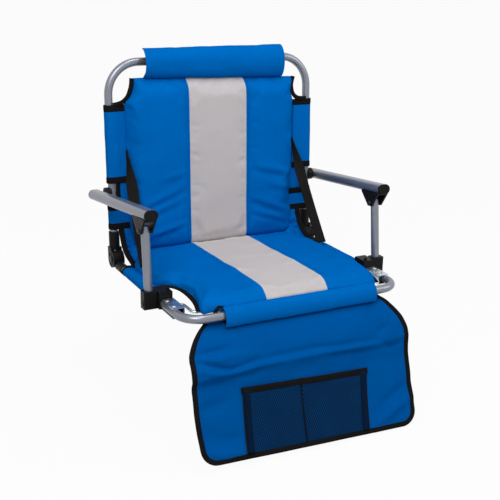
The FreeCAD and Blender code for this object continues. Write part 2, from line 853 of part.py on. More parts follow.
def bench_hook():
    """A rod bent into a shallow bow, its ends turned out into the brackets."""
    tip = value("%s - Dims.bracket_inner_reach + Dims.bracket_sheet + Dims.hook_stub" % HALF)
    arm = value("%s - Dims.bracket_inner_reach - Dims.hook_arm_inset" % HALF)
    reach = -size("hook_arm_length")
    path = rounded_path(
        [
            Vector(-tip, 0, 0),
            Vector(-arm, 0, 0),
            Vector(-arm, reach, 0),
            Vector(arm, reach, 0),
            Vector(arm, 0, 0),
            Vector(tip, 0, 0),
        ],
        size("hook_bend_radius"),
    )
    circle = Part.Circle(Vector(-tip, 0, 0), Vector(1, 0, 0), size("hook_rod_diameter") / 2)
    item = add("Part::Feature", "bench_hook")
    item.Shape = path.makePipeShell([Part.Wire(circle.toShape())], True, False)
    pivot = Vector(
        0,
        -size("bracket_start") - size("hook_pivot_setback"),
        size("hinge_height") - size("hook_pivot_drop"),
    )
    return keep(item, "bench_hook", Placement(pivot, Rotation()))


bench_hook()


# Arms: flat oval rails with end caps and a clevis for the post

rail_local = Placement(
    Vector(value(RAIL_X), 0, -size("arm_pivot_lift")),
    Rotation(Vector(0, 0, 1), -size("arm_toe")),
)
rail_place = arm_frame.multiply(rail_local)
RAIL_LENGTH = "(Dims.rail_front_reach + Dims.rail_rear_reach)"


def oval_bar(name, grow):
    """The rail's outer oval as a bar, larger all round by the given amount."""
    body = new_body(name)
    section = sketch_on(body, "XZ_Plane", "oval", "-Dims.rail_rear_reach")
    draw_slot(section, "Dims.rail_width + 2 * (%s)" % grow, "Dims.rail_height + 2 * (%s)" % grow)
    pad(body, section, RAIL_LENGTH, "bar")
    return body


def arm_rail():
    body = oval_bar("arm_rail", "0")
    hollow = sketch_on(body, "XZ_Plane", "hollow")
    draw_slot(hollow, "Dims.rail_width - 2 * Dims.rail_wall", "Dims.rail_height - 2 * Dims.rail_wall")
    pocket(body, hollow, "hollow_cut", both_ways=True)
    pivot = sketch_on(body, "YZ_Plane", "pivot")
    # the bolt runs straight across and the rail leans in, so the hole sits off the rail's own middle
    wall_offset = "-(Dims.rail_width - Dims.rail_wall) / 2 * tan(Dims.arm_toe)"
    bore = "Dims.arm_bolt_diameter + 4 * Dims.running_clearance"
    draw_circle(pivot, wall_offset, "Dims.arm_pivot_lift", bore)
    pocket(body, pivot, "pivot_hole")
    return body


def arm_cap(name):
    """A moulded end cap: a dished, rounded face and a plug that fits the rail's hollow."""
    body = new_body(name)
    face = sketch_on(body, "XZ_Plane", "face")
    draw_slot(face, "Dims.rail_width", "Dims.rail_height")
    solid = pad(body, face, "Dims.cap_thickness", "face_pad")
    outer_y = -size("cap_thickness")
    rounded = round_edges(
        body, solid, "Dims.cap_round",
        lambda edge: abs(edge.BoundBox.YMax - outer_y) < 0.01,
    )
    body.Tip = rounded
    dish = sketch_on(body, "XZ_Plane", "dish", "Dims.cap_thickness - Dims.cap_dish")
    draw_slot(dish, "Dims.rail_width - 2 * Dims.cap_rim", "Dims.rail_height - 2 * Dims.cap_rim")
    pocket(body, dish, "dish_cut", reversed_way=True)
    plug = sketch_on(body, "XZ_Plane", "plug")
    inner = "2 * (Dims.rail_wall + Dims.cap_plug_fit)"
    draw_slot(plug, "Dims.rail_width - " + inner, "Dims.rail_height - " + inner)
    pad(body, plug, "Dims.cap_plug_length", "plug_pad", reversed_way=True)
    return body



def arm_clevis():
    """Two wide cheeks under the rail, cut to the rail's curve, with a slot for the post."""
    body = new_body("clevis_block")
    under_rail = "(Dims.post_below_arm - Dims.arm_pivot_lift - Dims.rail_height / 2)"
    cheek = sketch_on(body, "YZ_Plane", "cheek")
    half_top, half_tip = "Dims.clevis_top_length / 2", "Dims.clevis_tip_length / 2"
    horn = under_rail + " + Dims.clevis_horn"
    draw_outline(
        cheek,
        [
            ("-" + half_tip, "-Dims.clevis_tip_drop"),
            (half_tip, "-Dims.clevis_tip_drop"),
            (half_top, under_rail),
            (half_top, horn),
            ("-" + half_top, horn),
            ("-" + half_top, under_rail),
        ],
    )
    pad(body, cheek, "Dims.clevis_width", "cheek_pad", both_ways=True)
    slot = sketch_on(body, "XZ_Plane", "slot")
    half_slot = "Dims.clevis_slot / 2"
    roof = under_rail + " - Dims.clevis_roof"
    below = "-2 * Dims.clevis_tip_drop"
    draw_outline(
        slot, [("-" + half_slot, below), (half_slot, below), (half_slot, roof), ("-" + half_slot, roof)]
    )
    pocket(body, slot, "slot_cut", both_ways=True)
    cross_hole(
        body, "rivet", "0", "0", "Dims.clevis_rivet_diameter + 2 * Dims.running_clearance"
    )
    clevis_place = Vector(value(ARM_X), -size("post_along_rail"), -size("post_below_arm"))
    body.Placement = Placement(clevis_place, Rotation())
    saddle = oval_bar("saddle", "Dims.saddle_gap")
    saddle.Placement = rail_local
    return cut("arm_clevis", body, [saddle])


pair(arm_rail(), "arm_rail", rail_place)
front_local = Placement(Vector(0, -size("rail_front_reach"), 0), Rotation())
rear_local = Placement(Vector(0, size("rail_rear_reach"), 0), Rotation(Vector(0, 0, 1), 180))
pair(arm_cap("arm_front_cap"), "arm_front_cap", rail_place.multiply(front_local))
pair(arm_cap("arm_rear_cap"), "arm_rear_cap", rail_place.multiply(rear_local))
pair(arm_clevis(), "arm_clevis", arm_frame)


def arm_boss():
    """A moulded spacer between the back tube and the rail, hollowed to sit on the tube."""
    length = "(%s - Dims.rail_width / 2 - Dims.boss_gap - %s)" % (RAIL_X, HALF)
    along, depth = "Dims.arm_pivot_reach", "-Dims.back_tube_setback"
    disc = cylinder("boss_disc", "Dims.boss_diameter", length, (HALF, along, depth), "x")
    tube = cylinder(
        "boss_tube", TUBE + " + 2 * Dims.tube_fit", "2 * Dims.boss_diameter",
        (HALF, along + " - Dims.boss_diameter", depth), "y",
    )
    bore = cylinder(
        "boss_bore", "Dims.arm_bolt_diameter + 2 * Dims.running_clearance", length,
        (HALF, along, depth), "x",
    )
    inner = block(
        "boss_inner", ("Dims.tube_diameter / 4", "2 * Dims.boss_diameter", "2 * Dims.boss_diameter"),
        (HALF, along + " - Dims.boss_diameter", depth + " - Dims.boss_diameter"),
    )
    return cut("arm_boss", disc, [tube, bore, inner])


pair(arm_boss(), "arm_pivot_boss", back_frame)


# Posts: round tubes from the moulded feet up to the clevises


def post_tube():
    body = new_body("post_tube")
    ring = sketch_on(body, "XY_Plane", "ring", "Dims.post_lift")
    draw_circle(ring, "0", "0", TUBE)
    draw_circle(ring, "0", "0", TUBE + " - 2 * Dims.tube_wall")
    pad(body, ring, "Dims.post_length + Dims.post_overrun - Dims.post_lift", "tube")
    cross_hole(
        body, "rivet", "0", "Dims.post_length",
        "Dims.clevis_rivet_diameter + 2 * Dims.clevis_rivet_slack",
    )
    return body


def post_foot():
    """A moulded block that stands on the bench beside the clamp and holds the post's lower end."""
    body = new_body("foot_block")
    plan = sketch_on(body, "XY_Plane", "plan", "Dims.seat_tube_drop - Dims.hinge_height")
    half_x, half_y = "Dims.foot_width / 2", "Dims.foot_depth / 2"
    draw_outline(
        plan,
        [("-" + half_x, "-" + half_y), (half_x, "-" + half_y), (half_x, half_y), ("-" + half_x, half_y)],
    )
    solid = pad(body, plan, "Dims.foot_height", "block")
    round_edges(body, solid, "Dims.foot_round", lambda edge: edge.BoundBox.ZLength > 1)
    cross_hole(
        body, "bolt", "0", "0", "Dims.foot_bolt_diameter + 2 * Dims.running_clearance"
    )
    bore = add("Part::Cylinder", "post_bore")
    bind(bore, "Radius", "Dims.tube_diameter / 2 + Dims.tube_fit")
    bind(bore, "Height", "2 * Dims.foot_height")
    lifted = post_turn.multVec(Vector(0, 0, size("post_lift")))
    bore.Placement = Placement(lifted, post_turn)
    return cut("post_foot", body, [bore])


post_point = Vector(value(ARM_X), foot_pivot.y, foot_pivot.z)
pair(post_tube(), "post_tube", Placement(post_point, post_turn))
pair(post_foot(), "post_foot", Placement(post_point, Rotation()))


# Fabric sleeves on the tubes

SLEEVE_OUTER = "(Dims.tube_diameter + 2 * (Dims.sleeve_gap + Dims.sleeve_cloth))"
SLEEVE_INNER = "(Dims.tube_diameter + 2 * Dims.sleeve_gap)"


def back_sleeve(name, start, end):
    """Cloth sewn round the back tube, its two layers meeting in a flat seam towards the pad."""
    length = "(%s - %s)" % (end, start)
    depth = "-Dims.back_tube_setback"
    outer = cylinder(name + "_outer", SLEEVE_OUTER, length, (HALF, start, depth), "y")
    inner = cylinder(name + "_inner", SLEEVE_INNER, length, (HALF, start, depth), "y")
    run = "(Dims.back_pad_side_inset - Dims.pad_gap)"
    seam = block(
        name + "_seam", (run, length, "Dims.sleeve_flange"),
        (
            "%s - %s" % (HALF, run), start,
            "%s + %s / 2 - Dims.sleeve_flange" % (depth, SLEEVE_OUTER),
        ),
    )
    return cut(name, fuse(name + "_cloth", [outer, seam]), [inner])


pair(
    back_sleeve("upper_sleeve", "Dims.upper_sleeve_start", "Dims.upper_sleeve_end"),
    "back_upper_sleeve", back_frame,
)
pair(
    back_sleeve("lower_sleeve", "Dims.lower_sleeve_start", "Dims.lower_sleeve_end"),
    "back_lower_sleeve", back_frame,
)


def seat_sleeve():
    rear = "(Dims.seat_socket_reach + Dims.seat_sleeve_gap)"
    front = "(Dims.foot_pivot_reach - Dims.clamp_length / 2 - Dims.seat_sleeve_gap)"
    corner = (HALF, "-" + front, "-Dims.seat_tube_drop")
    length = "(%s - %s)" % (front, rear)
    outer = cylinder("seat_sleeve_outer", SLEEVE_OUTER, length, corner, "y")
    inner = cylinder("seat_sleeve_inner", SLEEVE_INNER, length, corner, "y")
    return cut("seat_sleeve", outer, [inner])


pair(seat_sleeve(), "seat_side_sleeve", seat_frame)


def head_roll():
    """A padded sleeve round the top bar, with most of its foam in front of the bar."""
    body = new_body("head_roll")
    section = sketch_on(body, "YZ_Plane", "section")
    centre = "Dims.back_height - Dims.roll_drop"
    middle = "Dims.roll_forward - Dims.back_tube_setback"
    draw_slot(section, "Dims.roll_height", "Dims.roll_depth", centre, middle)
    solid = pad(body, section, "2 * Dims.roll_half_length", "roll", both_ways=True)
    half = size("roll_half_length")
    rounded = round_edges(
        body, solid, "Dims.roll_round", lambda edge: edge.BoundBox.XLength < half
    )
    body.Tip = rounded
    bar = sketch_on(body, "YZ_Plane", "bar")
    draw_circle(bar, "Dims.back_height", "-Dims.back_tube_setback", SLEEVE_INNER)
    pocket(body, bar, "bar_hole", both_ways=True)
    return body


keep(head_roll(), "head_roll", back_frame)


def front_roll():
    """The seat cover's padded front sleeve: an upright oval that hangs a little below the front bar."""
    body = new_body("seat_front_roll")
    ring = sketch_on(body, "YZ_Plane", "ring", "-Dims.front_roll_left")
    draw_slot(ring, "Dims.front_roll_height", "Dims.front_roll_depth", "-Dims.front_roll_drop")
    draw_circle(ring, "0", "0", SLEEVE_INNER)
    pad(body, ring, "Dims.front_roll_left + Dims.front_roll_right", "roll")
    return body


upright = Rotation(Vector(1, 0, 0), 90)
keep(front_roll(), "seat_front_roll", Placement(front_bar, upright))


# Pads: foam in a cloth cover, crowned along the middle and drawn in at the cut-outs.
# Both taper towards the hinge, so that the back can fold down onto the seat.


def pad_section(station, half_width, low, edge, crown):
    """A level base, round sides and a crowned face, at one station along the pad."""
    turn = size("pad_edge_round")
    middle = (low + edge) / 2
    base_left = Vector(-half_width + turn, station, low)
    base_right = Vector(half_width - turn, station, low)
    face_left = Vector(-half_width + turn, station, edge)
    face_right = Vector(half_width - turn, station, edge)
    return Part.Wire(
        [
            Part.LineSegment(base_left, base_right).toShape(),
            Part.Arc(base_right, Vector(half_width, station, middle), face_right).toShape(),
            Part.Arc(face_right, Vector(0, station, crown), face_left).toShape(),
            Part.Arc(face_left, Vector(-half_width, station, middle), base_left).toShape(),
        ]
    )


def lofted_pad(label, sections, placement):
    item = add("Part::Feature", label)
    wires = [pad_section(*section) for section in sections]
    item.Shape = Part.makeLoft(wires, True, False)
    return keep(item, label, placement)


def between(first, second, share):
    return first + (second - first) * share


def seat_pad():
    """Thin at the hinge and full at the front, drawn in at both cut-outs, with a nose that rolls onto the front roll."""
    half = value(HALF)
    base = -size("seat_pad_base")
    full = size("seat_pad_thickness")
    wide = half - size("seat_pad_side_gap")
    hinge = half - size("seat_pad_hinge_inset")
    waist = half - size("seat_pad_waist_inset")
    front = half - size("seat_pad_front_inset")
    behind = -size("seat_socket_reach")
    clamp = size("clamp_length") / 2 - size("foot_pivot_reach")
    bracket = -size("bracket_start")
    roll_top = size("front_roll_height") / 2 - size("front_roll_drop") - size("front_roll_depth") / 2
    roll_reach = size("front_roll_depth") / 2 + size("seat_pad_lip_gap")
    base_rise = size("seat_tube_drop") - size("seat_pad_base") - roll_top
    nose = math.sqrt(roll_reach ** 2 - base_rise ** 2) - size("seat_depth")
    lip = size("seat_pad_lip") - size("seat_depth")
    lip_base = roll_top + math.sqrt(roll_reach ** 2 - size("seat_pad_lip") ** 2) - size("seat_tube_drop")
    # station along the seat, half width, share of the base's rise to the lip,
    # share of the full height at the crown, share of the drop to the edges
    profile = [
        (size("seat_pad_tail"), between(hinge, waist, 0.9), 0.0, 0.58, 0.7),
        (0, hinge, 0.0, 0.75, 0.8),
        (behind, between(hinge, wide, 0.7), 0.0, 0.84, 0.9),
        (between(behind, clamp, 0.22), wide, 0.0, 0.86, 1.0),
        (between(behind, clamp, 0.55), wide, 0.0, 0.98, 1.0),
        (between(behind, clamp, 0.85), between(wide, waist, 0.2), 0.0, 1.0, 1.0),
        (between(clamp, bracket, 0.2), between(wide, waist, 0.78), 0.0, 1.0, 1.0),
        (bracket, waist, 0.0, 1.0, 1.0),
        (between(bracket, nose, 0.5), between(waist, front, 0.5), 0.0, 1.0, 1.0),
        (between(bracket, nose, 0.82), between(waist, front, 0.8), 0.1, 0.98, 1.0),
        (nose, front, 0.45, 0.88, 0.8),
        (lip, front, 1.0, 0.735, 0.3),
    ]
    sections = []
    for station, width, rise, crown, drop in profile:
        top = base + full * crown
        low = between(base, lip_base, rise)
        sections.append((station, width, low, top - size("seat_pad_edge_drop") * drop, top))
    return lofted_pad("seat_pad", sections, seat_frame)


def back_pad():
    """Set back and thin at the foot so that it clears the seat when folded, and fullest behind the shoulders."""
    half = value(HALF)
    thick = size("back_pad_thickness")
    foot = half - size("back_pad_foot_inset")
    side = half - size("back_pad_side_inset")
    top = half - size("back_pad_top_inset")
    low = size("back_pad_foot")
    upper, above = size("upper_sleeve_start"), size("upper_sleeve_end")
    neck = size("back_height") - size("roll_drop") - size("roll_height") / 2 - size("pad_gap")
    # station up the back, half width, share of the belly, share of the drop to the edges
    profile = [
        (low, foot, 0.0, 0.5),
        (between(low, upper, 0.3), between(foot, side, 0.17), 0.25, 0.6),
        (between(low, upper, 0.55), between(foot, side, 0.35), 0.43, 0.75),
        (between(low, upper, 0.92), between(foot, side, 0.6), 0.6, 0.9),
        (between(upper, above, 0.38), side, 0.77, 1.0),
        (between(upper, above, 0.82), between(side, top, 0.22), 0.93, 1.0),
        (between(above, neck, 0.35), between(side, top, 0.67), 0.96, 0.9),
        (between(above, neck, 0.75), between(side, top, 0.9), 0.84, 0.7),
        (neck, top, 0.6, 0.5),
    ]
    sections = []
    for station, width, belly, drop in profile:
        crown = size("back_pad_belly") * belly - size("back_pad_foot_setback")
        edge = crown - size("back_pad_edge_drop") * drop
        behind = min(crown - thick, -size("back_pad_rear"))
        sections.append((station, width, behind, edge, crown))
    return lofted_pad("back_pad", sections, back_frame)


seat_pad()
back_pad()


# Side straps: webbing from the back pad's side seam down to the seat's side


def side_strap():
    x = value(HALF) - size("strap_inset")
    on_seat = Vector(x, -size("strap_seat_reach"), size("hinge_height") + size("strap_seat_height"))
    cloth = size("back_tube_setback") - size("tube_diameter") / 2 - size("sleeve_gap")
    ahead = -(cloth - size("sleeve_cloth")) + size("strap_thickness")
    on_back = back_frame.multVec(Vector(x, size("strap_back_reach"), ahead))
    run = on_back - on_seat
    item = add("Part::Box", "side_strap")
    bind(item, "Length", "Dims.strap_width")
    bind(item, "Width", "Dims.strap_thickness")
    item.Height = run.Length
    turn = Rotation(Vector(0, 0, 1), run)
    shift = turn.multVec(Vector(-size("strap_width") / 2, -size("strap_thickness") / 2, 0))
    return item, Placement(on_seat + shift, turn)


strap, strap_place = side_strap()
pair(strap, "side_strap", strap_place)


# Apron: a bound cloth panel that hangs from the front roll, with two net pockets

roll_foot = size("front_roll_height") / 2 + size("front_roll_drop")
apron_start = math.sqrt((roll_foot + size("pad_gap")) ** 2 - size("apron_setback") ** 2)


def apron_outline():
    """The panel seen from the front: cut shoulders and round lower corners."""
    top, side = size("apron_top_half"), size("apron_half_width")
    shoulder, low = -size("apron_shoulder"), -size("apron_length")
    radius = size("apron_corner_radius")
    lean = radius * (1 - math.sqrt(0.5))
    right = [
        Vector(top, -apron_start, 0),
        Vector(side, shoulder, 0),
        Vector(side, low + radius, 0),
        Vector(side - radius, low, 0),
    ]
    bend_right = Vector(side - lean, low + lean, 0)
    left = [Vector(-point.x, point.y, 0) for point in right]
    bend_left = Vector(-bend_right.x, bend_right.y, 0)
    return Part.Wire(
        [
            Part.LineSegment(left[0], right[0]).toShape(),
            Part.LineSegment(right[0], right[1]).toShape(),
            Part.LineSegment(right[1], right[2]).toShape(),
            Part.Arc(right[2], bend_right, right[3]).toShape(),
            Part.LineSegment(right[3], left[3]).toShape(),
            Part.Arc(left[3], bend_left, left[2]).toShape(),
            Part.LineSegment(left[2], left[1]).toShape(),
            Part.LineSegment(left[1], left[0]).toShape(),
        ]
    )


def hanging_sheet(lift, thickness):
    """The cloth's side view drawn across more than the width: it bellies out to its fold and hangs below."""
    span = 2 * (size("apron_half_width") + size("binding_width"))
    fold = -size("apron_fold_reach")
    belly, hem = size("apron_belly"), size("apron_hem_out")
    low = -size("apron_length") - size("binding_width")
    base = lift - size("apron_setback")

    def side(depth):
        points = [
            (0, base),
            (fold / 2, base + belly * 0.65),
            (fold, base + belly),
            ((fold + low) / 2, base + hem * 0.9),
            (low, base + hem),
        ]
        return [Vector(-span / 2, along, out + depth) for along, out in points]

    front = side(thickness)
    rear = side(0)
    wire = Part.Wire(
        [
            Part.Arc(front[0], front[1], front[2]).toShape(),
            Part.Arc(front[2], front[3], front[4]).toShape(),
            Part.LineSegment(front[4], rear[4]).toShape(),
            Part.Arc(rear[4], rear[3], rear[2]).toShape(),
            Part.Arc(rear[2], rear[1], rear[0]).toShape(),
            Part.LineSegment(rear[0], front[0]).toShape(),
        ]
    )
    return Part.Face(wire).extrude(Vector(span, 0, 0))


def apron_piece(label, face, lift, thickness, opened=None):
    """What a flat outline takes from the hanging sheet, less what a second one takes away."""
    depth = Vector(0, 0, 4 * size("apron_belly"))
    behind = -depth / 2
    shape = hanging_sheet(lift, thickness).common(face.translated(behind).extrude(depth))
    if opened is not None:
        shape = shape.cut(opened.translated(behind).extrude(depth))
    item = add("Part::Feature", label)
    item.Shape = shape.Solids[0]
    return keep(item, label, apron_frame)


def rectangle(left, right, low, high):
    corners = [Vector(left, low, 0), Vector(right, low, 0), Vector(right, high, 0), Vector(left, high, 0)]
    return Part.Face(Part.makePolygon(corners + corners[:1]))


def apron():
    outer = apron_outline()
    inner = outer.makeOffset2D(-size("binding_width"))
    cloth, bound = size("apron_cloth"), size("binding_thickness")
    apron_piece("apron_panel", Part.Face(inner), 0, cloth)
    apron_piece("apron_binding", Part.Face(outer), (cloth - bound) / 2, bound, Part.Face(inner))
    half, reach = size("pocket_half_width"), -size("pocket_reach")
    under_trim = reach - size("pocket_trim_height")
    hem = -size("apron_length") + size("binding_width") + size("pocket_gap")
    lift = cloth + size("pocket_gap")
    divide = size("pocket_divider_gap") / 2
    net = size("pocket_cloth")
    apron_piece("pocket_net_left", rectangle(-half, -divide, hem, under_trim), lift, net)
    apron_piece("pocket_net_right", rectangle(divide, half, hem, under_trim), lift, net)
    apron_piece(
        "pocket_trim", rectangle(-half, half, under_trim, reach), lift, size("pocket_trim_thickness")
    )


apron()
doc.recompute()

failed = [item.Name for item in doc.Objects if {"Invalid", "Error"} & set(item.State)]
if failed:
    raise ValueError("failed objects: " + ", ".join(failed))
for item in SUBPARTS:
    if item.Shape.isNull() or not item.Shape.isValid() or not item.Shape.Solids:
        raise ValueError(item.Label + " has no valid solid")

os.makedirs("parts", exist_ok=True)
for item in SUBPARTS:
    item.Shape.exportStep(os.path.join("parts", item.Label + ".step"))
print(len(SUBPARTS), "sub-parts written")
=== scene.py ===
import math

import bpy
from mathutils import Matrix, Vector, noise


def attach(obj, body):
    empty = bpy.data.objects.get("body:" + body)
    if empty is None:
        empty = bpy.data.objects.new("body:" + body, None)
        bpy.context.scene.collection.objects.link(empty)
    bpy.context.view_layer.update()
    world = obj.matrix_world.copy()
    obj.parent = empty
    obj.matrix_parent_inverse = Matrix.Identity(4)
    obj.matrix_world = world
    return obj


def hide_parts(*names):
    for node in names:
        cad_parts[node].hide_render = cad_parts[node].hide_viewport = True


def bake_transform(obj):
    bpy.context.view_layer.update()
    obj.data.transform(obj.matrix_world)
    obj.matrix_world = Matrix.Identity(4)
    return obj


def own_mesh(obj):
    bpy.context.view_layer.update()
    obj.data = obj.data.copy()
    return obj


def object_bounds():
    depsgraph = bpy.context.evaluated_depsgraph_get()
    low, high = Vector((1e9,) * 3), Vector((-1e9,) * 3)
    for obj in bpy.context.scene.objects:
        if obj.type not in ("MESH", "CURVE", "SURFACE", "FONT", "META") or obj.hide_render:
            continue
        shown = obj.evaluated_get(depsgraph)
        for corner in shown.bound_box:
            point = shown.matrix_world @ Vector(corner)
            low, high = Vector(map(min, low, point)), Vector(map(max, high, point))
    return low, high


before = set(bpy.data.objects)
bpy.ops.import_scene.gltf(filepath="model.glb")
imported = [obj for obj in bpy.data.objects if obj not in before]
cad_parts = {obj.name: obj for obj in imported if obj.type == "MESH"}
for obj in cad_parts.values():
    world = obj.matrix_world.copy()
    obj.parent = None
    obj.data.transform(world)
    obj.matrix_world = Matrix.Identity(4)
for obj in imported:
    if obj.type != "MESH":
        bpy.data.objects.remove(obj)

cad_low, cad_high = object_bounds()

# Camera: it stands in front of the seat, to its left and a little above it.
# Its place and lens were worked out from the straight tubes.
EYE = Vector((-0.9245, -1.9589, 0.696))
TURN = math.radians(-27.44)
TILT = math.radians(17.55)
LEAN = math.radians(1.04)
LENS = 68.1
SENSOR_WIDTH = 36.0

backward = Vector((math.sin(TURN) * math.cos(TILT), -math.cos(TURN) * math.cos(TILT), math.sin(TILT)))
level_right = Vector((math.cos(TURN), math.sin(TURN), 0))
level_up = backward.cross(level_right)
leaned_right = level_right * math.cos(LEAN) + level_up * math.sin(LEAN)
leaned_up = level_up * math.cos(LEAN) - level_right * math.sin(LEAN)
camera_data = bpy.data.cameras.new("camera")
camera_data.lens = LENS
camera_data.sensor_width = SENSOR_WIDTH
camera = bpy.data.objects.new("camera", camera_data)
facing = Matrix((leaned_right, leaned_up, backward)).transposed().to_4x4()
camera.matrix_world = Matrix.Translation(EYE) @ facing
bpy.context.collection.objects.link(camera)
bpy.context.scene.camera = camera
bpy.context.scene.view_settings.view_transform = "Standard"

# Studio: a pale floor under the apron's hem, a white surround and three broad soft lamps.
# The surround and floor look white to the eye and in the metal, and still take the seat's shadow.
FLOOR_GAP = 0.004
FLOOR_HALF = 40.0
SURROUND_LIGHT = 0.4
FLOOR_GLOW = 0.95
FLOOR_GREY = (0.6, 0.6, 0.6, 1)
WHITE = (1, 1, 1, 1)
LAMPS = (
    ("key_lamp", (-1.4, -1.9, 2.3), 1.6, 50),
    ("fill_lamp", (2.0, -1.5, 1.4), 1.6, 18),
    ("top_lamp", (0.1, -0.75, 2.6), 1.0, 19),
)


def node(tree, kind, **settings):
    """A new shader node with its settings made."""
    made = tree.nodes.new(kind)
    for key, setting in settings.items():
        setattr(made, key, setting)
    return made


def calc(tree, operation, *terms):
    """One sum on numbers or node outputs, and its output."""
    made = node(tree, "ShaderNodeMath", operation=operation)
    for socket, term in zip(made.inputs, terms):
        if isinstance(term, (int, float)):
            socket.default_value = term
        else:
            tree.links.new(term, socket)
    return made.outputs[0]


def seen_directly(tree):
    """1 for rays from the eye, from a reflection or through glass."""
    path = node(tree, "ShaderNodeLightPath")
    eye_or_gloss = calc(tree, "MAXIMUM", path.outputs["Is Camera Ray"], path.outputs["Is Glossy Ray"])
    return calc(tree, "MAXIMUM", eye_or_gloss, path.outputs["Is Transmission Ray"])


def coloured(tree, kind, colour):
    """A shader node of one colour."""
    made = node(tree, kind)
    made.inputs["Color"].default_value = colour
    return made


def lit_and_seen(tree, share, lit, seen, output):
    """One shader for the light that is given and one for what is seen, mixed by the share."""
    either = node(tree, "ShaderNodeMixShader")
    for socket, source in zip(either.inputs, (share, lit.outputs[0], seen.outputs[0])):
        tree.links.new(source, socket)
    tree.links.new(either.outputs[0], node(tree, output).inputs["Surface"])


surround = bpy.data.worlds.new("surround")
surround.use_nodes = True
bpy.context.scene.world = surround
tree = surround.node_tree
tree.nodes.clear()
lighting = coloured(tree, "ShaderNodeBackground", WHITE)
lighting.inputs["Strength"].default_value = SURROUND_LIGHT
white = coloured(tree, "ShaderNodeBackground", WHITE)
lit_and_seen(tree, seen_directly(tree), lighting, white, "ShaderNodeOutputWorld")

floor_finish = bpy.data.materials.new("studio_floor")
floor_finish.use_nodes = True
tree = floor_finish.node_tree
tree.nodes.clear()
paint = coloured(tree, "ShaderNodeBsdfDiffuse", FLOOR_GREY)
glow = coloured(tree, "ShaderNodeEmission", WHITE)
glow_share = calc(tree, "MULTIPLY", seen_directly(tree), FLOOR_GLOW)
lit_and_seen(tree, glow_share, paint, glow, "ShaderNodeOutputMaterial")

floor_mesh = bpy.data.meshes.new("studio_floor")
floor_level = cad_low.z - FLOOR_GAP
floor_signs = ((-1, -1), (1, -1), (1, 1), (-1, 1))
floor_corners = [(i * FLOOR_HALF, j * FLOOR_HALF, floor_level) for i, j in floor_signs]
floor_mesh.from_pydata(floor_corners, [], [(0, 1, 2, 3)])
floor_mesh.materials.append(floor_finish)
floor = bpy.data.objects.new("studio_floor", floor_mesh)
bpy.context.collection.objects.link(floor)

for lamp_name, lamp_place, lamp_width, lamp_watts in LAMPS:
    lamp_data = bpy.data.lights.new(lamp_name, "AREA")
    lamp_data.shape = "DISK"
    lamp_data.size = lamp_width
    lamp_data.energy = lamp_watts
    lamp = bpy.data.objects.new(lamp_name, lamp_data)
    lamp.location = lamp_place
    lamp.rotation_euler = Vector(lamp_place).to_track_quat("Z", "Y").to_euler()
    bpy.context.collection.objects.link(lamp)

# Seat and back frames, arm rails and posts: drawn steel tube, bent and sprayed with silver paint.
# The paint is a little uneven.
SILVER_DARK = (0.175, 0.185, 0.215, 1)
SILVER_LIGHT = (0.265, 0.28, 0.32, 1)


def new_finish(name):
    """A material with its node tree and its main shader."""
    made = bpy.data.materials.new(name)
    made.use_nodes = True
    return made, made.node_tree, made.node_tree.nodes["Principled BSDF"]


def speckle(tree, scale, detail, rough=0.55, stretch=(1, 1, 1)):
    """Soft random patches, about 1/scale metres across, stretched along the axes."""
    place = node(tree, "ShaderNodeTexCoord")
    mapping = node(tree, "ShaderNodeMapping")
    mapping.inputs["Scale"].default_value = stretch
    patches = node(tree, "ShaderNodeTexNoise")
    patches.inputs["Scale"].default_value = scale
    patches.inputs["Detail"].default_value = detail
    patches.inputs["Roughness"].default_value = rough
    tree.links.new(place.outputs["Object"], mapping.inputs["Vector"])
    tree.links.new(mapping.outputs["Vector"], patches.inputs["Vector"])
    return patches.outputs["Fac"]


def two_tone(tree, share, low, high, shader):
    """The base colour goes from low to high with the share."""
    tones = node(tree, "ShaderNodeMix", data_type="RGBA")
    tones.inputs["A"].default_value = low
    tones.inputs["B"].default_value = high
    tree.links.new(share, tones.inputs["Factor"])
    tree.links.new(tones.outputs["Result"], shader.inputs["Base Color"])


def spread(tree, share, low, high):
    """The share, spread from low to high."""
    made = node(tree, "ShaderNodeMapRange")
    made.inputs["To Min"].default_value = low
    made.inputs["To Max"].default_value = high
    tree.links.new(share, made.inputs["Value"])
    return made.outputs["Result"]


def relief(tree, height, depth, strength, shader):
    """Bumps of the given depth in metres."""
    bump = node(tree, "ShaderNodeBump")
    bump.inputs["Strength"].default_value = strength
    bump.inputs["Distance"].default_value = depth
    tree.links.new(height, bump.inputs["Height"])
    tree.links.new(bump.outputs["Normal"], shader.inputs["Normal"])


def dress(finish, *names):
    """Gives the solids of these names the finish."""
    for name in names:
        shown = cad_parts[name]
        shown.data.materials.clear()
        shown.data.materials.append(finish)


def hard_finish(name, tones, patches, gloss, grain, bumps, metallic, specular=0.5, flakes=0.0):
    """Paint, plastic or steel: patches shade its colour and gloss, and a fine grain roughens it.
    Flakes is the grain's share in the colour, and bumps its depth in metres and its strength."""
    made, tree, shader = new_finish(name)
    shader.inputs["Metallic"].default_value = metallic
    shader.inputs["Specular IOR Level"].default_value = specular
    fine = speckle(tree, *grain)
    broad = speckle(tree, *patches)
    share = calc(tree, "MULTIPLY_ADD", fine, flakes, calc(tree, "MULTIPLY", broad, 1 - flakes))
    two_tone(tree, share, *tones, shader)
    tree.links.new(spread(tree, broad, *gloss), shader.inputs["Roughness"])
    relief(tree, fine, *bumps, shader)
    return made


silver_paint = hard_finish("silver_paint", (SILVER_DARK, SILVER_LIGHT), patches=(28, 4), gloss=(0.27, 0.42),
                           grain=(900, 2), bumps=(0.00005, 0.35), metallic=0.72, specular=0.4, flakes=0.35)
dress(silver_paint, "seat_frame_tube", "back_frame_tube")
dress(silver_paint, "arm_rail_left", "arm_rail_right", "post_tube_left", "post_tube_right")

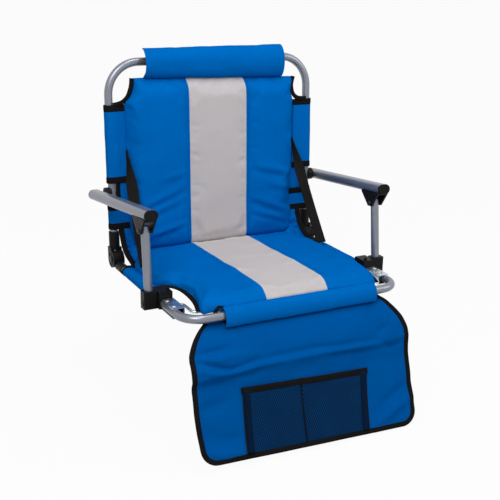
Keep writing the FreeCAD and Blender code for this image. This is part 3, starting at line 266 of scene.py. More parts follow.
# Hinges, foot clamps, post feet, clevises, bosses and rail caps: black nylon, injection moulded.
# The mould leaves a fine matt grain, and handling polishes it in patches.
NYLON_DARK = (0.0035, 0.0035, 0.004, 1)
NYLON_WORN = (0.0095, 0.0095, 0.0105, 1)

black_nylon = hard_finish("black_nylon", (NYLON_DARK, NYLON_WORN), patches=(45, 4), gloss=(0.55, 0.32),
                          grain=(1500, 2), bumps=(0.00012, 0.4), metallic=0.0, specular=0.09)
for side in ("left", "right"):
    dress(black_nylon, "hinge_seat_half_" + side, "hinge_back_half_" + side, "foot_clamp_" + side)
    dress(black_nylon, "arm_pivot_boss_" + side, "arm_front_cap_" + side, "arm_rear_cap_" + side)
    dress(black_nylon, "arm_clevis_" + side, "post_foot_" + side)

# Hook brackets and the bench hook: pressed sheet and bent rod, zinc plated and passivated.
# The plating has a faint blue cast and a small crystal spangle. Rivets and bolts are bright or black steel.
ZINC_BLUE = (0.42, 0.52, 0.62, 1)
ZINC_BRIGHT = (0.74, 0.77, 0.78, 1)
STEEL_DULL = (0.36, 0.36, 0.37, 1)
STEEL_BRIGHT = (0.66, 0.66, 0.65, 1)
BLACKED_DARK = (0.012, 0.012, 0.013, 1)
BLACKED_RUBBED = (0.06, 0.06, 0.062, 1)

zinc_plate, tree, shader = new_finish("zinc_plate")
shader.inputs["Metallic"].default_value = 1.0
spangle = node(tree, "ShaderNodeTexVoronoi")
spangle.inputs["Scale"].default_value = 260
tree.links.new(node(tree, "ShaderNodeTexCoord").outputs["Object"], spangle.inputs["Vector"])
zinc_patches = speckle(tree, 60, 3)
zinc_share = calc(tree, "MULTIPLY", zinc_patches, 0.6)
zinc_share = calc(tree, "MULTIPLY_ADD", spangle.outputs["Distance"], 0.5, zinc_share)
two_tone(tree, zinc_share, ZINC_BLUE, ZINC_BRIGHT, shader)
tree.links.new(spread(tree, zinc_patches, 0.2, 0.42), shader.inputs["Roughness"])
relief(tree, spangle.outputs["Distance"], 0.00008, 0.3, shader)
dress(zinc_plate, "hook_bracket_left", "hook_bracket_right", "bench_hook")

bright_steel = hard_finish("bright_steel", (STEEL_DULL, STEEL_BRIGHT), patches=(420, 3), gloss=(0.22, 0.45),
                           grain=(420, 3), bumps=(0.00004, 0.4), metallic=1.0)
dress(bright_steel, "bracket_rivets")

blacked_steel = hard_finish("blacked_steel", (BLACKED_DARK, BLACKED_RUBBED), patches=(240, 4),
                            gloss=(0.5, 0.3), grain=(240, 4), bumps=(0.00005, 0.4), metallic=0.6)
dress(blacked_steel, "hinge_rivets", "foot_bolts", "arm_pivot_bolts")
dress(blacked_steel, "clevis_rivet_left", "clevis_rivet_right")

# Seat pad: a slab of foam in a sewn cover of blue woven polyester, with a pale stripe let in at the middle.
# The cover is drawn down to a thin edge at the sides, rolls over a round nose to the front seam,
# and each side of the stripe is sewn with a double row of stitches.
MM = 0.001
BLUE_DEEP = (0.0, 0.087, 0.345, 1)
BLUE_LIT = (0.0, 0.144, 0.51, 1)
PALE_DEEP = (0.43, 0.405, 0.41, 1)
PALE_LIT = (0.54, 0.51, 0.515, 1)
THREAD_PITCH = 0.0013
STRIPE_HALF = 72.0
SEAM_ROWS = (4.0, 8.5)
STITCH_PITCH = 3.6
STITCH_LENGTH = 2.8
STITCH_HALF = 0.6
SEAT_RIM = 21.0
SEAT_BASE = 17.0
SEAT_REAR = 10.0
SEAT_NOSE = -394.0
SEAT_ROUND_START = -350.0
SEAT_ROW_STEP = 6.0
HINGE_ROW_STEP = 3.6
HINGE_ROWS_END = -34.0
NOSE_ROWS = (-350, -356, -361, -366, -370.5, -374.5, -378.5, -382, -385.5, -388.5, -391.5, SEAT_NOSE)
NOSE_END_SHARE = 0.88
NOSE_DIP = 14.0
REAR_RIM = 24.0
SIDE_TURNS = 9
PANEL_STEPS = 14
STRIPE_STEPS = 22
STRIPE_FIRST = SIDE_TURNS + PANEL_STEPS + 2
HELD_ROWS = 7
BARE_ROWS = 3
STITCH_LIFT = 0.25
SWELL_CAP = 4.0
SWELL_FRAMES = 20
# Thread tones: a dark blue thread, darkened further as painted shade along the stitch lines.
THREAD_AND_SHADE_DEEP = (0.0, 0.025, 0.11, 1)
THREAD_AND_SHADE_LIT = (0.0, 0.045, 0.18, 1)


def eased(*stops):
    """A smooth value through (place, value) stops, level past the first and the last."""
    places = [stop[0] for stop in stops]
    values = [stop[1] for stop in stops]
    rises = [(values[i + 1] - values[i]) / (places[i + 1] - places[i]) for i in range(len(stops) - 1)]
    slopes = [0.0]
    for before, after in zip(rises, rises[1:]):
        slopes.append(0.0 if before * after <= 0 else 2 * before * after / (before + after))
    slopes.append(0.0)

    def value_at(place):
        if place <= places[0]:
            return values[0]
        if place >= places[-1]:
            return values[-1]
        i = max(k for k in range(len(places)) if places[k] <= place)
        span = places[i + 1] - places[i]
        t = (place - places[i]) / span
        start = (1 + 2 * t) * (1 - t) ** 2 * values[i] + t * t * (3 - 2 * t) * values[i + 1]
        return start + t * (1 - t) * span * ((1 - t) * slopes[i] - t * slopes[i + 1])

    return value_at


def woven(name, deep, lit, pitch, sheen, gloss=(0.62, 0.5)):
    """Plain woven cloth: threads over and under, a slight sheen, and soft patches of fading."""
    made, tree, shader = new_finish(name)
    shader.inputs["Sheen Weight"].default_value = sheen
    shader.inputs["Sheen Roughness"].default_value = 0.4
    shader.inputs["Specular IOR Level"].default_value = 0.0
    split = node(tree, "ShaderNodeSeparateXYZ")
    tree.links.new(node(tree, "ShaderNodeTexCoord").outputs["Object"], split.inputs[0])
    turns = 2 * math.pi / pitch
    weft = calc(tree, "SINE", calc(tree, "MULTIPLY", split.outputs["X"], turns))
    length = calc(tree, "ADD", split.outputs["Y"], split.outputs["Z"])
    warp = calc(tree, "SINE", calc(tree, "MULTIPLY", length, turns))
    threads = calc(tree, "MULTIPLY_ADD", calc(tree, "MULTIPLY", weft, warp), 0.5, 0.5)
    fading = speckle(tree, 11, 5, 0.6)
    slubs = speckle(tree, 240, 3, 0.6, (1, 0.25, 0.25))
    share = calc(tree, "MULTIPLY_ADD", threads, 0.22, calc(tree, "MULTIPLY", fading, 0.6))
    two_tone(tree, calc(tree, "MULTIPLY_ADD", slubs, 0.3, share), deep, lit, shader)
    tree.links.new(spread(tree, fading, *gloss), shader.inputs["Roughness"])
    relief(tree, calc(tree, "MULTIPLY_ADD", slubs, 0.6, threads), 0.00022, 0.55, shader)
    return made


def make_piece(name, points, faces, finishes, finish_of_face=None):
    """A smooth mesh object from points in metres."""
    mesh = bpy.data.meshes.new(name)
    mesh.from_pydata([tuple(point) for point in points], [], faces)
    for finish in finishes:
        mesh.materials.append(finish)
    mesh.polygons.foreach_set("use_smooth", [True] * len(mesh.polygons))
    if finish_of_face:
        mesh.polygons.foreach_set("material_index", finish_of_face)
    mesh.update()
    piece = bpy.data.objects.new(name, mesh)
    bpy.context.collection.objects.link(piece)
    return piece


def smoothed(piece):
    """One round of subdivision."""
    rounder = piece.modifiers.new("rounder", "SUBSURF")
    rounder.levels = 1
    rounder.render_levels = 1
    return piece


def pad_side(half, turn):
    """Places from a pad's rim to its stripe: the round side, the panel and the sewn rows.
    Each is (place from the middle, share of the height)."""
    places = []
    for i in range(SIDE_TURNS):
        angle = math.pi / 2 * i / SIDE_TURNS
        places.append((half - turn * (1 - math.cos(angle)), math.sin(angle)))
    panel_start = half - turn
    panel_end = STRIPE_HALF + SEAM_ROWS[1]
    for i in range(PANEL_STEPS + 1):
        places.append((panel_start + (panel_end - panel_start) * i / PANEL_STEPS, 1.0))
    places.append((STRIPE_HALF + SEAM_ROWS[0], 1.0))
    places.append((STRIPE_HALF, 1.0))
    return places


def pad_columns(left, right):
    """Places across a pad from its left rim to its right, each with its share of the height.
    Left and right are each a half width and the breadth of its round side."""
    first = [(-place, share) for place, share in pad_side(*left)]
    middle = [(-STRIPE_HALF + 2 * STRIPE_HALF * i / STRIPE_STEPS, 1.0) for i in range(1, STRIPE_STEPS)]
    return first + middle + list(reversed(pad_side(*right)))


def pull_height(across, up, pulls):
    """Height of the folds at a point: each fold is a soft ridge with a hollow under it."""
    height = 0.0
    for x0, s0, x1, s1, lift, width in pulls:
        length = math.hypot(x1 - x0, s1 - s0)
        along = ((across - x0) * (x1 - x0) + (up - s0) * (s1 - s0)) / length
        off = ((up - s0) * (x1 - x0) - (across - x0) * (s1 - s0)) / length * (1 if x1 > x0 else -1)
        t = along / length
        if 0 < t < 1:
            ridge = math.exp(-(off / width) ** 2) - 0.8 * math.exp(-((off + 1.7 * width) / width) ** 2)
            height += lift * math.sin(math.pi * t) ** 0.8 * ridge
    return height


def pad_piece(name, front, rear, stripe, finishes):
    """A closed pad from a front and a rear grid of points that share their rim."""
    rows, columns = len(front), len(front[0])
    points = [point for row in front for point in row]
    rear_index = {}
    for r in range(rows):
        for c in range(columns):
            if 0 < r < rows - 1 and 0 < c < columns - 1:
                rear_index[r, c] = len(points)
                points.append(rear[r][c])
            else:
                rear_index[r, c] = r * columns + c
    faces, finish_of_face = [], []
    for r in range(rows - 1):
        for c in range(columns - 1):
            corners = ((r, c), (r, c + 1), (r + 1, c + 1), (r + 1, c))
            faces.append([i * columns + j for i, j in corners])
            finish_of_face.append(1 if stripe[0] <= c < stripe[1] else 0)
            faces.append([rear_index[corner] for corner in reversed(corners)])
            finish_of_face.append(0)
    return make_piece(name, points, faces, finishes, finish_of_face)


def swell(piece, sewn, cap):
    """Air pressure swells the cover between its sewn points. No point moves further than the cap."""
    held = piece.vertex_groups.new(name="sewn")
    held.add(sewn, 1.0, "REPLACE")
    cloth = piece.modifiers.new("swell", "CLOTH")
    cloth.settings.quality = 6
    cloth.settings.mass = 0.25
    cloth.settings.tension_stiffness = 22
    cloth.settings.compression_stiffness = 22
    cloth.settings.shear_stiffness = 8
    cloth.settings.bending_stiffness = 1.2
    cloth.settings.shrink_min = -0.012
    cloth.settings.use_pressure = True
    cloth.settings.uniform_pressure_force = 4
    cloth.settings.vertex_group_mass = "sewn"
    cloth.settings.effector_weights.gravity = 0
    cloth.collision_settings.use_self_collision = False
    for step in range(1, SWELL_FRAMES + 1):
        bpy.context.scene.frame_set(step)
    swelled = piece.evaluated_get(bpy.context.evaluated_depsgraph_get())
    moved = [vertex.co.copy() for vertex in swelled.data.vertices]
    piece.modifiers.remove(cloth)
    bpy.context.scene.frame_set(1)
    for vertex, place in zip(piece.data.vertices, moved):
        move = place - vertex.co
        if move.length > cap:
            move *= cap / move.length
        vertex.co += move
    piece.vertex_groups.clear()


def stitched(name, lines, finish):
    """Sewing thread along lines of (point, outward direction), as one raised lens for each stitch."""
    points, faces = [], []
    for line in lines:
        distances = [0.0]
        for (here, _), (there, _) in zip(line, line[1:]):
            distances.append(distances[-1] + (there - here).length)

        def along(distance):
            i = max(k for k in range(len(line) - 1) if distances[k] <= distance)
            share = (distance - distances[i]) / max(distances[i + 1] - distances[i], 1e-9)
            return line[i][0].lerp(line[i + 1][0], share), line[i][1].lerp(line[i + 1][1], share)

        count = int(distances[-1] / (STITCH_PITCH * MM))
        for k in range(count):
            start, _ = along(k * STITCH_PITCH * MM)
            end, outward = along((k * STITCH_PITCH + STITCH_LENGTH) * MM)
            middle = (start + end) / 2
            sideways = (end - start).cross(outward).normalized() * STITCH_HALF * MM
            first = len(points)
            top = middle + outward.normalized() * STITCH_HALF * MM
            points += [start, middle + sideways, end, middle - sideways, top]
            faces += [(first, first + 1, first + 4), (first + 1, first + 2, first + 4)]
            faces += [(first + 2, first + 3, first + 4), (first + 3, first, first + 4)]
    return make_piece(name, points, faces, [finish])


blue_cloth = woven("blue_cloth", BLUE_DEEP, BLUE_LIT, THREAD_PITCH, 0.0)
pale_cloth = woven("pale_cloth", PALE_DEEP, PALE_LIT, THREAD_PITCH, 0.02)
# The thread's dark tones are partly its own colour and partly painted shade of the stitch lines.
blue_thread_and_shade = woven("blue_thread_and_shade", THREAD_AND_SHADE_DEEP, THREAD_AND_SHADE_LIT, 0.0005, 0.0)


def dressed_pad(word, body, front, rear):
    """A pad's cover with its stripe and stitches, swelled by its foam."""
    rows, columns = len(front), len(front[0])
    stripe = (STRIPE_FIRST, columns - 1 - STRIPE_FIRST)
    pad = pad_piece(word + "_cover", front, rear, stripe, [blue_cloth, pale_cloth])
    stitch_columns = [STRIPE_FIRST - 2, STRIPE_FIRST - 1]
    stitch_columns += [columns - 1 - c for c in stitch_columns]
    sewn = [r * columns + c for r in range(rows) for c in [0, columns - 1, *stripe, *stitch_columns]]
    sewn += [r * columns + c for r in [*range(HELD_ROWS), rows - 1] for c in range(columns)]
    sewn += list(range(rows * columns, len(pad.data.vertices)))
    swell(pad, sewn, SWELL_CAP * MM)
    lines = []
    for c in stitch_columns:
        spots = [pad.data.vertices[r * columns + c] for r in range(BARE_ROWS, rows - 1)]
        lines.append([(spot.co + spot.normal * STITCH_LIFT * MM, spot.normal.copy()) for spot in spots])
    stitches = stitched(word + "_stitches", lines, blue_thread_and_shade)
    smoothed(pad)
    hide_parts(word)
    for piece in (pad, stitches):
        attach(piece, body)
        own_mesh(piece)


seat_left = eased((-394, 209), (-385, 212), (-379, 211), (-350, 202.5), (-327, 198), (-303, 195), (-281, 194),
                  (-258, 195), (-239, 200.5), (-225, 208.5), (-218, 216), (-210, 227), (-202, 235),
                  (-150, 237), (-90, 236), (-64, 230), (-40, 215), (-15, 205), (10, 200))
seat_right = eased((-394, 193), (-385, 199), (-370, 206), (-350, 213), (-306, 224), (-242, 234), (-200, 234),
                   (-137, 230), (-90, 230), (-64, 228), (-40, 215), (-15, 205), (10, 200))
left_turn = eased((-394, 15), (-345, 26), (-300, 40), (-243, 46), (-200, 44), (-64, 40), (-15, 20))
right_turn = eased((-394, 16), (-350, 34), (-300, 46), (-243, 54), (-200, 60), (-64, 56), (-15, 24))
seat_top = eased((-394, 29.5), (-391, 33), (-386, 38.5), (-379, 44.5), (-370, 48.6), (-360, 50.4), (-340, 51),
                 (-280, 51), (-190, 48.5), (-80, 46), (-40, 45.5), (-30, 44.9), (-22, 43.6), (-16, 41.6),
                 (-8, 38), (0, 34.5), (10, 29))
nose_share = eased((160, 1.0), (207, NOSE_END_SHARE))
SEAT_PULLS = (
    (-226, -262, -172, -204, -3.2, 11),
    (-206, -372, -150, -330, 2.0, 7),
    (206, -372, 150, -322, 2.0, 8),
    (206, -300, 150, -270, 1.4, 8),
)

seat_rows = []
place = SEAT_REAR
while place > SEAT_ROUND_START:
    seat_rows.append(place)
    place -= HINGE_ROW_STEP if place > HINGE_ROWS_END else SEAT_ROW_STEP
seat_rows += NOSE_ROWS
front, rear = [], []
for y in seat_rows:
    columns = pad_columns((seat_left(y), left_turn(y)), (seat_right(y), right_turn(y)))
    front_row, rear_row = [], []
    for x, share in columns:
        drawn = y
        if y < SEAT_ROUND_START:
            drawn = SEAT_ROUND_START + (y - SEAT_ROUND_START) * nose_share(abs(x))
        rim = SEAT_RIM
        if y == SEAT_NOSE:
            rim = seat_top(y) - NOSE_DIP * (1 - nose_share(abs(x))) / (1 - NOSE_END_SHARE)
            share = 0.0
        if y == SEAT_REAR:
            rim = REAR_RIM
            share = 0.0
        height = rim + (seat_top(y) - rim) * share
        corner = max(0.0, (abs(x) - 140) / 60) * max(0.0, (-320 - y) / 50)
        crumple = corner * noise.noise(Vector((x / 12, y / 16, 9.4))) * 2.2
        slack = noise.noise(Vector((x / 70, y / 55, 3.1))) * 1.3
        slack += noise.noise(Vector((x / 30, y / 34, 7.7))) * 0.5
        height += share * (slack + crumple + pull_height(x, y, SEAT_PULLS))
        front_row.append(Vector((x, drawn, height)) * MM)
        rear_row.append(Vector((x, drawn, SEAT_BASE)) * MM)
    front.append(front_row)
    rear.append(rear_row)
dressed_pad("seat_pad", "seat", front, rear)

# Back pad: the same foam and cover, standing up between the side tubes of the back.
# It is pinched in under the head roll, and slack cloth pulls in soft folds from the lower corners inwards.
RECLINE = math.radians(2.5)
HINGE_HEIGHT = 22.0
BACK_FOOT = 12.0
BACK_TOP = 404.6
BACK_REAR = -5.5
COVER_SLANT = 0.031
RIGHT_TURN_SHARE = 1.6
FOOT_ROWS = (14.5, 17, 20, 23.5, 28, 33)
PLAIN_ROWS = (38.0, 372.0)
PINCH_ROWS = (374, 379, 383.5, 387.5, 391, 394.5, 397.5, 400, 402.5)
PULLS = (
    (-205, 112, -84, 158, 3.9, 8),
    (-200, 92, -84, 134, 3.4, 8),
    (-188, 46, -80, 72, 4.0, 7),
    (-150, 176, -86, 190, 1.8, 8),
    (84, 196, 205, 168, 3.6, 8),
    (80, 122, 205, 66, 4.0, 9),
    (84, 84, 190, 52, 3.2, 7),
    (120, 150, 208, 128, 2.4, 8),
)


def back_place(across, up, out):
    """A point on the reclined back: across it, up from the hinge axis and out to the front, in mm."""
    y = math.sin(RECLINE) * up - math.cos(RECLINE) * out
    z = HINGE_HEIGHT + math.cos(RECLINE) * up + math.sin(RECLINE) * out
    return Vector((across, y, z)) * MM


def cover_drop(across, up):
    """How far the cover has slipped down the frame: nothing at the left, most at the upper right."""
    return COVER_SLANT * max(0.0, across + 175) * up / 400


back_left = eased((12, 199), (40, 208), (67, 214), (122, 216), (190, 218), (300, 218), (352, 218), (360, 208),
                  (368, 202), (378, 198), (390, 195), (404.6, 194))
back_right = eased((12, 198), (40, 201), (67, 203), (90, 199), (120, 199), (166, 203), (233, 206), (345, 206),
                   (356, 203), (366, 199), (378, 199.5), (390, 203), (404.6, 206))
back_turn = eased((12, 22), (67, 20), (122, 19), (300, 19), (352, 19), (404.6, 17))
back_rim = eased((12, -3), (67, -1), (122, 0), (345, 0), (404.6, 0))
back_crown = eased((12, 6), (15, 10.5), (18, 14.6), (22, 17.8), (28, 20.2), (36, 21.2), (120, 20.6),
                   (200, 21.8), (300, 23), (360, 23.4), (376, 22.4), (384, 19.5), (390, 15), (396, 9.5),
                   (401, 4.5), (404.6, 2))
back_rows = [BACK_FOOT, *FOOT_ROWS]
place = PLAIN_ROWS[0]
while place < PLAIN_ROWS[1]:
    back_rows.append(place)
    place += SEAT_ROW_STEP
back_rows += [*PINCH_ROWS, BACK_TOP]
front, rear = [], []
for s in back_rows:
    columns = pad_columns((back_left(s), back_turn(s)), (back_right(s), RIGHT_TURN_SHARE * back_turn(s)))
    front_row, rear_row = [], []
    for x, share in columns:
        if s in (BACK_FOOT, BACK_TOP):
            share = 0.0
            rim = back_crown(s) * 0.5
        else:
            rim = back_rim(s)
        out = rim + (back_crown(s) - rim) * share
        slack = noise.noise(Vector((x / 80, s / 60, 11.3))) * 1.2
        slack += noise.noise(Vector((x / 33, s / 30, 5.9))) * 0.4
        corner = max(0.0, (abs(x) - 150) / 60) * max(0.0, (80 - s) / 60)
        crumple = corner * noise.noise(Vector((x / 13, s / 9, 2.2))) * 4.5
        out += share * (slack + crumple + pull_height(x, s, PULLS))
        up = s - cover_drop(x, s)
        front_row.append(back_place(x, up, out))
        rear_row.append(back_place(x, up, BACK_REAR + min(rim, 0)))
    front.append(front_row)
    rear.append(rear_row)
back_out = back_place(0, 0, 1) - back_place(0, 0, 0)
dressed_pad("back_pad", "back", front, rear)

# Head roll and front roll: the cover's ends, each sewn into a sleeve with foam in it and put over a cross bar.
# The ends are open, so the bar is seen going into the foam, which ends short of them. The foam and the
# sleeves' insides are painted near-black as painted shade in the open ends.
ROLL_SHADE_DARK = (0.006, 0.007, 0.01, 1)
ROLL_SHADE_LIT = (0.012, 0.016, 0.024, 1)
ROLL_WALL = 2.2
FOAM_SHORT = 16.0
FOAM_INSET = 4.5
FOAM_ROUND = 3.0
FOAM_STEP = 10.0
ROLL_STEP = 5.0
RING_STEPS = 3
HEAD_CREASES = ((-92, 0.7, 8), (30, 0.5, 9), (112, 0.8, 8))
FRONT_CREASES = ((-128, 0.5, 7), (-20, 0.4, 9), (96, 0.5, 8))
HEAD_HALF_LENGTH = 173.0
FRONT_LEFT = -171.0
FRONT_RIGHT = 184.0
HEAD_TOP = 467.5
HEAD_CUT = 20.0
HEAD_CUT_RUN = 80.0
HEAD_SECTION = ((402.5, 0), (404.5, 10), (410, 17), (419, 22), (431, 24.6), (444, 24.4), (455.5, 20),
                (463.5, 12.4), (HEAD_TOP, 3), (466, -7), (460, -16), (450, -22), (436, -24), (422, -21.5),
                (411, -14), (405, -6))
FRONT_SECTION = ((-409, -10), (-412.5, -4), (-413.5, 4), (-412.5, 13), (-408.5, 21.5), (-402, 27),
                 (-394.5, 28.4), (-388, 26), (-384.5, 19.5), (-384, 11), (-386.5, 3), (-393, -3.5),
                 (-401, -7))

# Painted shade: one near-black finish for the foam cores and the insides of the sleeves.
roll_shade = woven("painted_roll_shade", ROLL_SHADE_DARK, ROLL_SHADE_LIT, THREAD_PITCH, 0.0)


def curve_point(a, b, c, d, t):
    """A point on the smooth line from b to c, which has a before it and d after it."""
    bend = (2 * a - 5 * b + 4 * c - d) * t * t + (3 * b - a - 3 * c + d) * t ** 3
    return (2 * b + (c - a) * t + bend) / 2


def roll_ring(section):
    """Points on a smooth closed line through a roll's section, each with its outward direction."""
    stops = [Vector(stop) for stop in section]
    ring = []
    for i in range(len(stops)):
        near = [stops[(i + k) % len(stops)] for k in (-1, 0, 1, 2)]
        ring += [curve_point(*near, j / RING_STEPS) for j in range(RING_STEPS)]
    middle = sum(ring, Vector((0, 0))) / len(ring)
    return [(corner, (corner - middle).normalized()) for corner in ring]


def tube_faces(rows, columns, turned=False):
    """Faces of a tube of rings."""
    faces = []
    for r in range(rows - 1):
        for c in range(columns):
            here, after = r * columns + c, r * columns + (c + 1) % columns
            faces.append((here, after, after + columns, here + columns))
    return [tuple(reversed(face)) for face in faces] if turned else faces


def closed_faces(rows, columns, turned=False):
    """Faces of a tube of rings with both ends closed."""
    first = tuple(range(columns))
    last = tuple(reversed(range((rows - 1) * columns, rows * columns)))
    if not turned:
        first, last = first[::-1], last[::-1]
    return tube_faces(rows, columns, turned) + [first, last]


def walled(piece, thick, offset):
    """Gives a sheet its thickness."""
    wall = piece.modifiers.new("wall", "SOLIDIFY")
    wall.thickness = thick * MM
    wall.offset = offset
    return wall


def roll_piece(name, section, start, end, place, creases, seed):
    """An open-ended padded sleeve along x, slightly uneven, with soft creases round it."""
    ring = roll_ring(section)
    steps = int((end - start) / ROLL_STEP)
    points = []
    for i in range(steps + 1):
        x = start + (end - start) * i / steps
        for corner, outward in ring:
            swing = noise.noise(Vector((x / 60, corner.x / 26, seed))) * 1.1
            swing += noise.noise(Vector((x / 21, corner.y / 15, seed + 4))) * 0.45
            for crease, depth, width in creases:
                swing -= depth * math.exp(-((x - crease) / width) ** 2)
            points.append(place(x, corner + outward * swing))
    piece = make_piece(name, points, tube_faces(steps + 1, len(ring), True), [blue_cloth, roll_shade])
    wall = walled(piece, ROLL_WALL, -1)
    # The sleeve's inside takes the painted shade finish, and its cut edges take the blue cloth.
    wall.material_offset = 1
    wall.material_offset_rim = 0
    return smoothed(piece)


def foam_core(name, section, start, end, place):
    """The foam in a roll, with rounded edges, ending short of the sleeve's open ends, painted dark as shade.
    """
    ring = roll_ring(section)
    steps = int((end - start) / FOAM_STEP)
    first = start + FOAM_SHORT
    last = end - FOAM_SHORT
    stations = [(first, FOAM_INSET + FOAM_ROUND)]
    for i in range(steps + 1):
        stations.append((first + FOAM_ROUND + (last - first - 2 * FOAM_ROUND) * i / steps, FOAM_INSET))
    stations.append((last, FOAM_INSET + FOAM_ROUND))
    points = [place(x, corner - outward * inset) for x, inset in stations for corner, outward in ring]
    return smoothed(make_piece(name, points, closed_faces(len(stations), len(ring), True), [roll_shade]))


def head_place(x, corner):
    """A point of the head roll: its foot slips down with the cover, and its rear is cut back at the left."""
    rear_share = max(0.0, corner.y / min(rear for up, rear in HEAD_SECTION))
    cut_back = rear_share * max(0.0, 1 - (x + HEAD_HALF_LENGTH) / HEAD_CUT_RUN)
    share = (HEAD_TOP - corner.x) / (HEAD_TOP - HEAD_SECTION[0][0])
    return back_place(x + HEAD_CUT * cut_back, corner.x - cover_drop(x, BACK_TOP) * share, corner.y)


def front_place(x, corner):
    return Vector((x, corner.x, corner.y)) * MM


head_shape = (HEAD_SECTION, -HEAD_HALF_LENGTH, HEAD_HALF_LENGTH, head_place)
front_shape = (FRONT_SECTION, FRONT_LEFT, FRONT_RIGHT, front_place)
head_roll = roll_piece("head_roll_sleeve", *head_shape, HEAD_CREASES, 21.0)
front_roll = roll_piece("front_roll_sleeve", *front_shape, FRONT_CREASES, 35.0)
for piece, node_name, body in ((head_roll, "head_roll", "back"), (front_roll, "seat_front_roll", "seat")):
    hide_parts(node_name)
    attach(piece, body)
head_foam = foam_core("head_roll_foam", *head_shape)
front_foam = foam_core("front_roll_foam", *front_shape)
for piece, body in ((head_foam, "back"), (front_foam, "seat")):
    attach(piece, body)

# Side sleeves: the cover's side margins, turned round the tubes and closed by a double row of stitches.
# Black tape binds the open ends on the back, and those at the hinges on the seat.
SIDES = ((-1, "left"), (1, "right"))
TUBE_X = 250.0
SLEEVE_RADIUS = 10.7
BACK_TUBE_OUT = -10.0
SEAT_TUBE_HEIGHT = 11.0
BAND_LENGTHS = (13.0, 13.0)
SEAT_BANDS = (6.5, 0.0)
BAND_LIFT = 0.7
BAND_STEP = 0.2
SLEEVE_WALL = 1.1
SLEEVE_JOIN = 232.0
SLEEVE_ROWS = (222.5, 228.5)
TAPE_DARK = (0.004, 0.004, 0.0045, 1)
TAPE_LIT = (0.014, 0.014, 0.015, 1)

black_tape = woven("black_tape", TAPE_DARK, TAPE_LIT, 0.0016, 0.01, (0.7, 0.55))
black_thread = woven("black_thread", (0.006, 0.006, 0.006, 1), (0.014, 0.014, 0.015, 1), 0.0005, 0.0)


def sleeve_ring(tip, height, centre, lift):
    """The line round a sleeve, from the flat margin's tip over the tube and back under to the tip."""
    radius = SLEEVE_RADIUS + lift
    ring = [(tip, height + 0.5 + lift)]
    for row in SLEEVE_ROWS:
        ring += [(row - 2.6, height + 1.0 + lift), (row, height - 1.0 + lift)]
    ring.append((SLEEVE_JOIN, height + 0.8 + lift))
    ring.append(((SLEEVE_JOIN + TUBE_X) / 2, (height + 1 + centre + radius) / 2 + lift / 2))
    for i in range(15):
        angle = math.radians(90 - 245 * i / 14)
        ring.append((TUBE_X + radius * math.cos(angle), centre + radius * math.sin(angle)))
    ring += [(SLEEVE_JOIN + 1, height - 1.4 - lift), ((tip + SLEEVE_JOIN) / 2, height - 1.2 - lift)]
    ring.append((tip, height - 0.9 - lift))
    return ring


def sleeve_piece(name, side, start, end, tip, height, centre, place, bands, seed):
    """A sleeve round a side tube between two stations, with its bound ends."""
    along = 1 if end > start else -1
    near, far = start + along * bands[0], end - along * bands[1]
    steps = max(4, int(abs(far - near) / 8))
    stations = [(near + (far - near) * i / steps, 0.0, 0) for i in range(steps + 1)]
    if bands[0]:
        band = (start, (start + near) / 2, near - along * BAND_STEP)
        stations = [(place_along, BAND_LIFT, 1) for place_along in band] + stations
    if bands[1]:
        stations[-1] = (far, 0.0, 1)
        band = (far + along * BAND_STEP, (far + end) / 2, end)
        stations += [(place_along, BAND_LIFT, 1) for place_along in band]
    points, finish_of_face = [], []
    for station, lift, kind in stations:
        ring = sleeve_ring(tip, height, centre, lift)
        for across, out in ring:
            loose = noise.noise(Vector((across / 16, station / 30, seed))) * 0.7
            push = Vector((across - TUBE_X, out - centre))
            if push.length < 2 * SLEEVE_RADIUS:
                push = push.normalized() * max(loose, -0.2)
            else:
                push = Vector((0, loose * 0.5))
            points.append(place(side * (across + push.x), station, out + push.y))
    width = len(ring)
    for station, lift, kind in stations[:-1]:
        finish_of_face += [kind] * width
    faces = tube_faces(len(stations), width, side > 0)
    piece = make_piece(name, points, faces, [blue_cloth, black_tape], finish_of_face)
    walled(piece, SLEEVE_WALL, -1)
    return smoothed(piece)


def seat_place(across, along, height):
    return Vector((across, along, height)) * MM


UPPER_ENDS = {"left": (173.0, 347.5), "right": (170.0, 337.0)}
LOWER_ENDS = {"left": (67.0, 126.0), "right": (65.0, 120.5)}
SEAT_ENDS = (-64.5, -234.0)
UPPER_TIP = {"left": 214.5, "right": 208.0}
LOWER_TIP = {"left": 210.0, "right": 192.0}
SEAT_TIP = 226.0
BACK_FLAP = -1.6
SEAT_FLAP = 19.6
ROW_STEPS = 20
for side, word in SIDES:
    upper = sleeve_piece("back_upper_sleeve_cloth_" + word, side, *UPPER_ENDS[word], UPPER_TIP[word],
                         BACK_FLAP, BACK_TUBE_OUT, back_place, BAND_LENGTHS, 41 + side)
    lower = sleeve_piece("back_lower_sleeve_cloth_" + word, side, *LOWER_ENDS[word], LOWER_TIP[word],
                         BACK_FLAP, BACK_TUBE_OUT, back_place, BAND_LENGTHS, 51 + side)
    under = sleeve_piece("seat_side_sleeve_cloth_" + word, side, *SEAT_ENDS, SEAT_TIP, SEAT_FLAP,
                         SEAT_TUBE_HEIGHT, seat_place, SEAT_BANDS, 61 + side)
    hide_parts("back_upper_sleeve_" + word)
    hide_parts("back_lower_sleeve_" + word)
    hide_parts("seat_side_sleeve_" + word)
    lines = []
    for start, end in (UPPER_ENDS[word], LOWER_ENDS[word]):
        places = [start + 1 + (end - start - 2) * i / ROW_STEPS for i in range(ROW_STEPS + 1)]
        for row in SLEEVE_ROWS:
            lines.append([(back_place(side * row, s, BACK_FLAP + 0.1), back_out) for s in places])
    sleeve_stitches = stitched("sleeve_stitches_" + word, lines, blue_thread_and_shade)
    for piece in (upper, lower, sleeve_stitches):
        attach(piece, "back")
    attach(under, "seat")

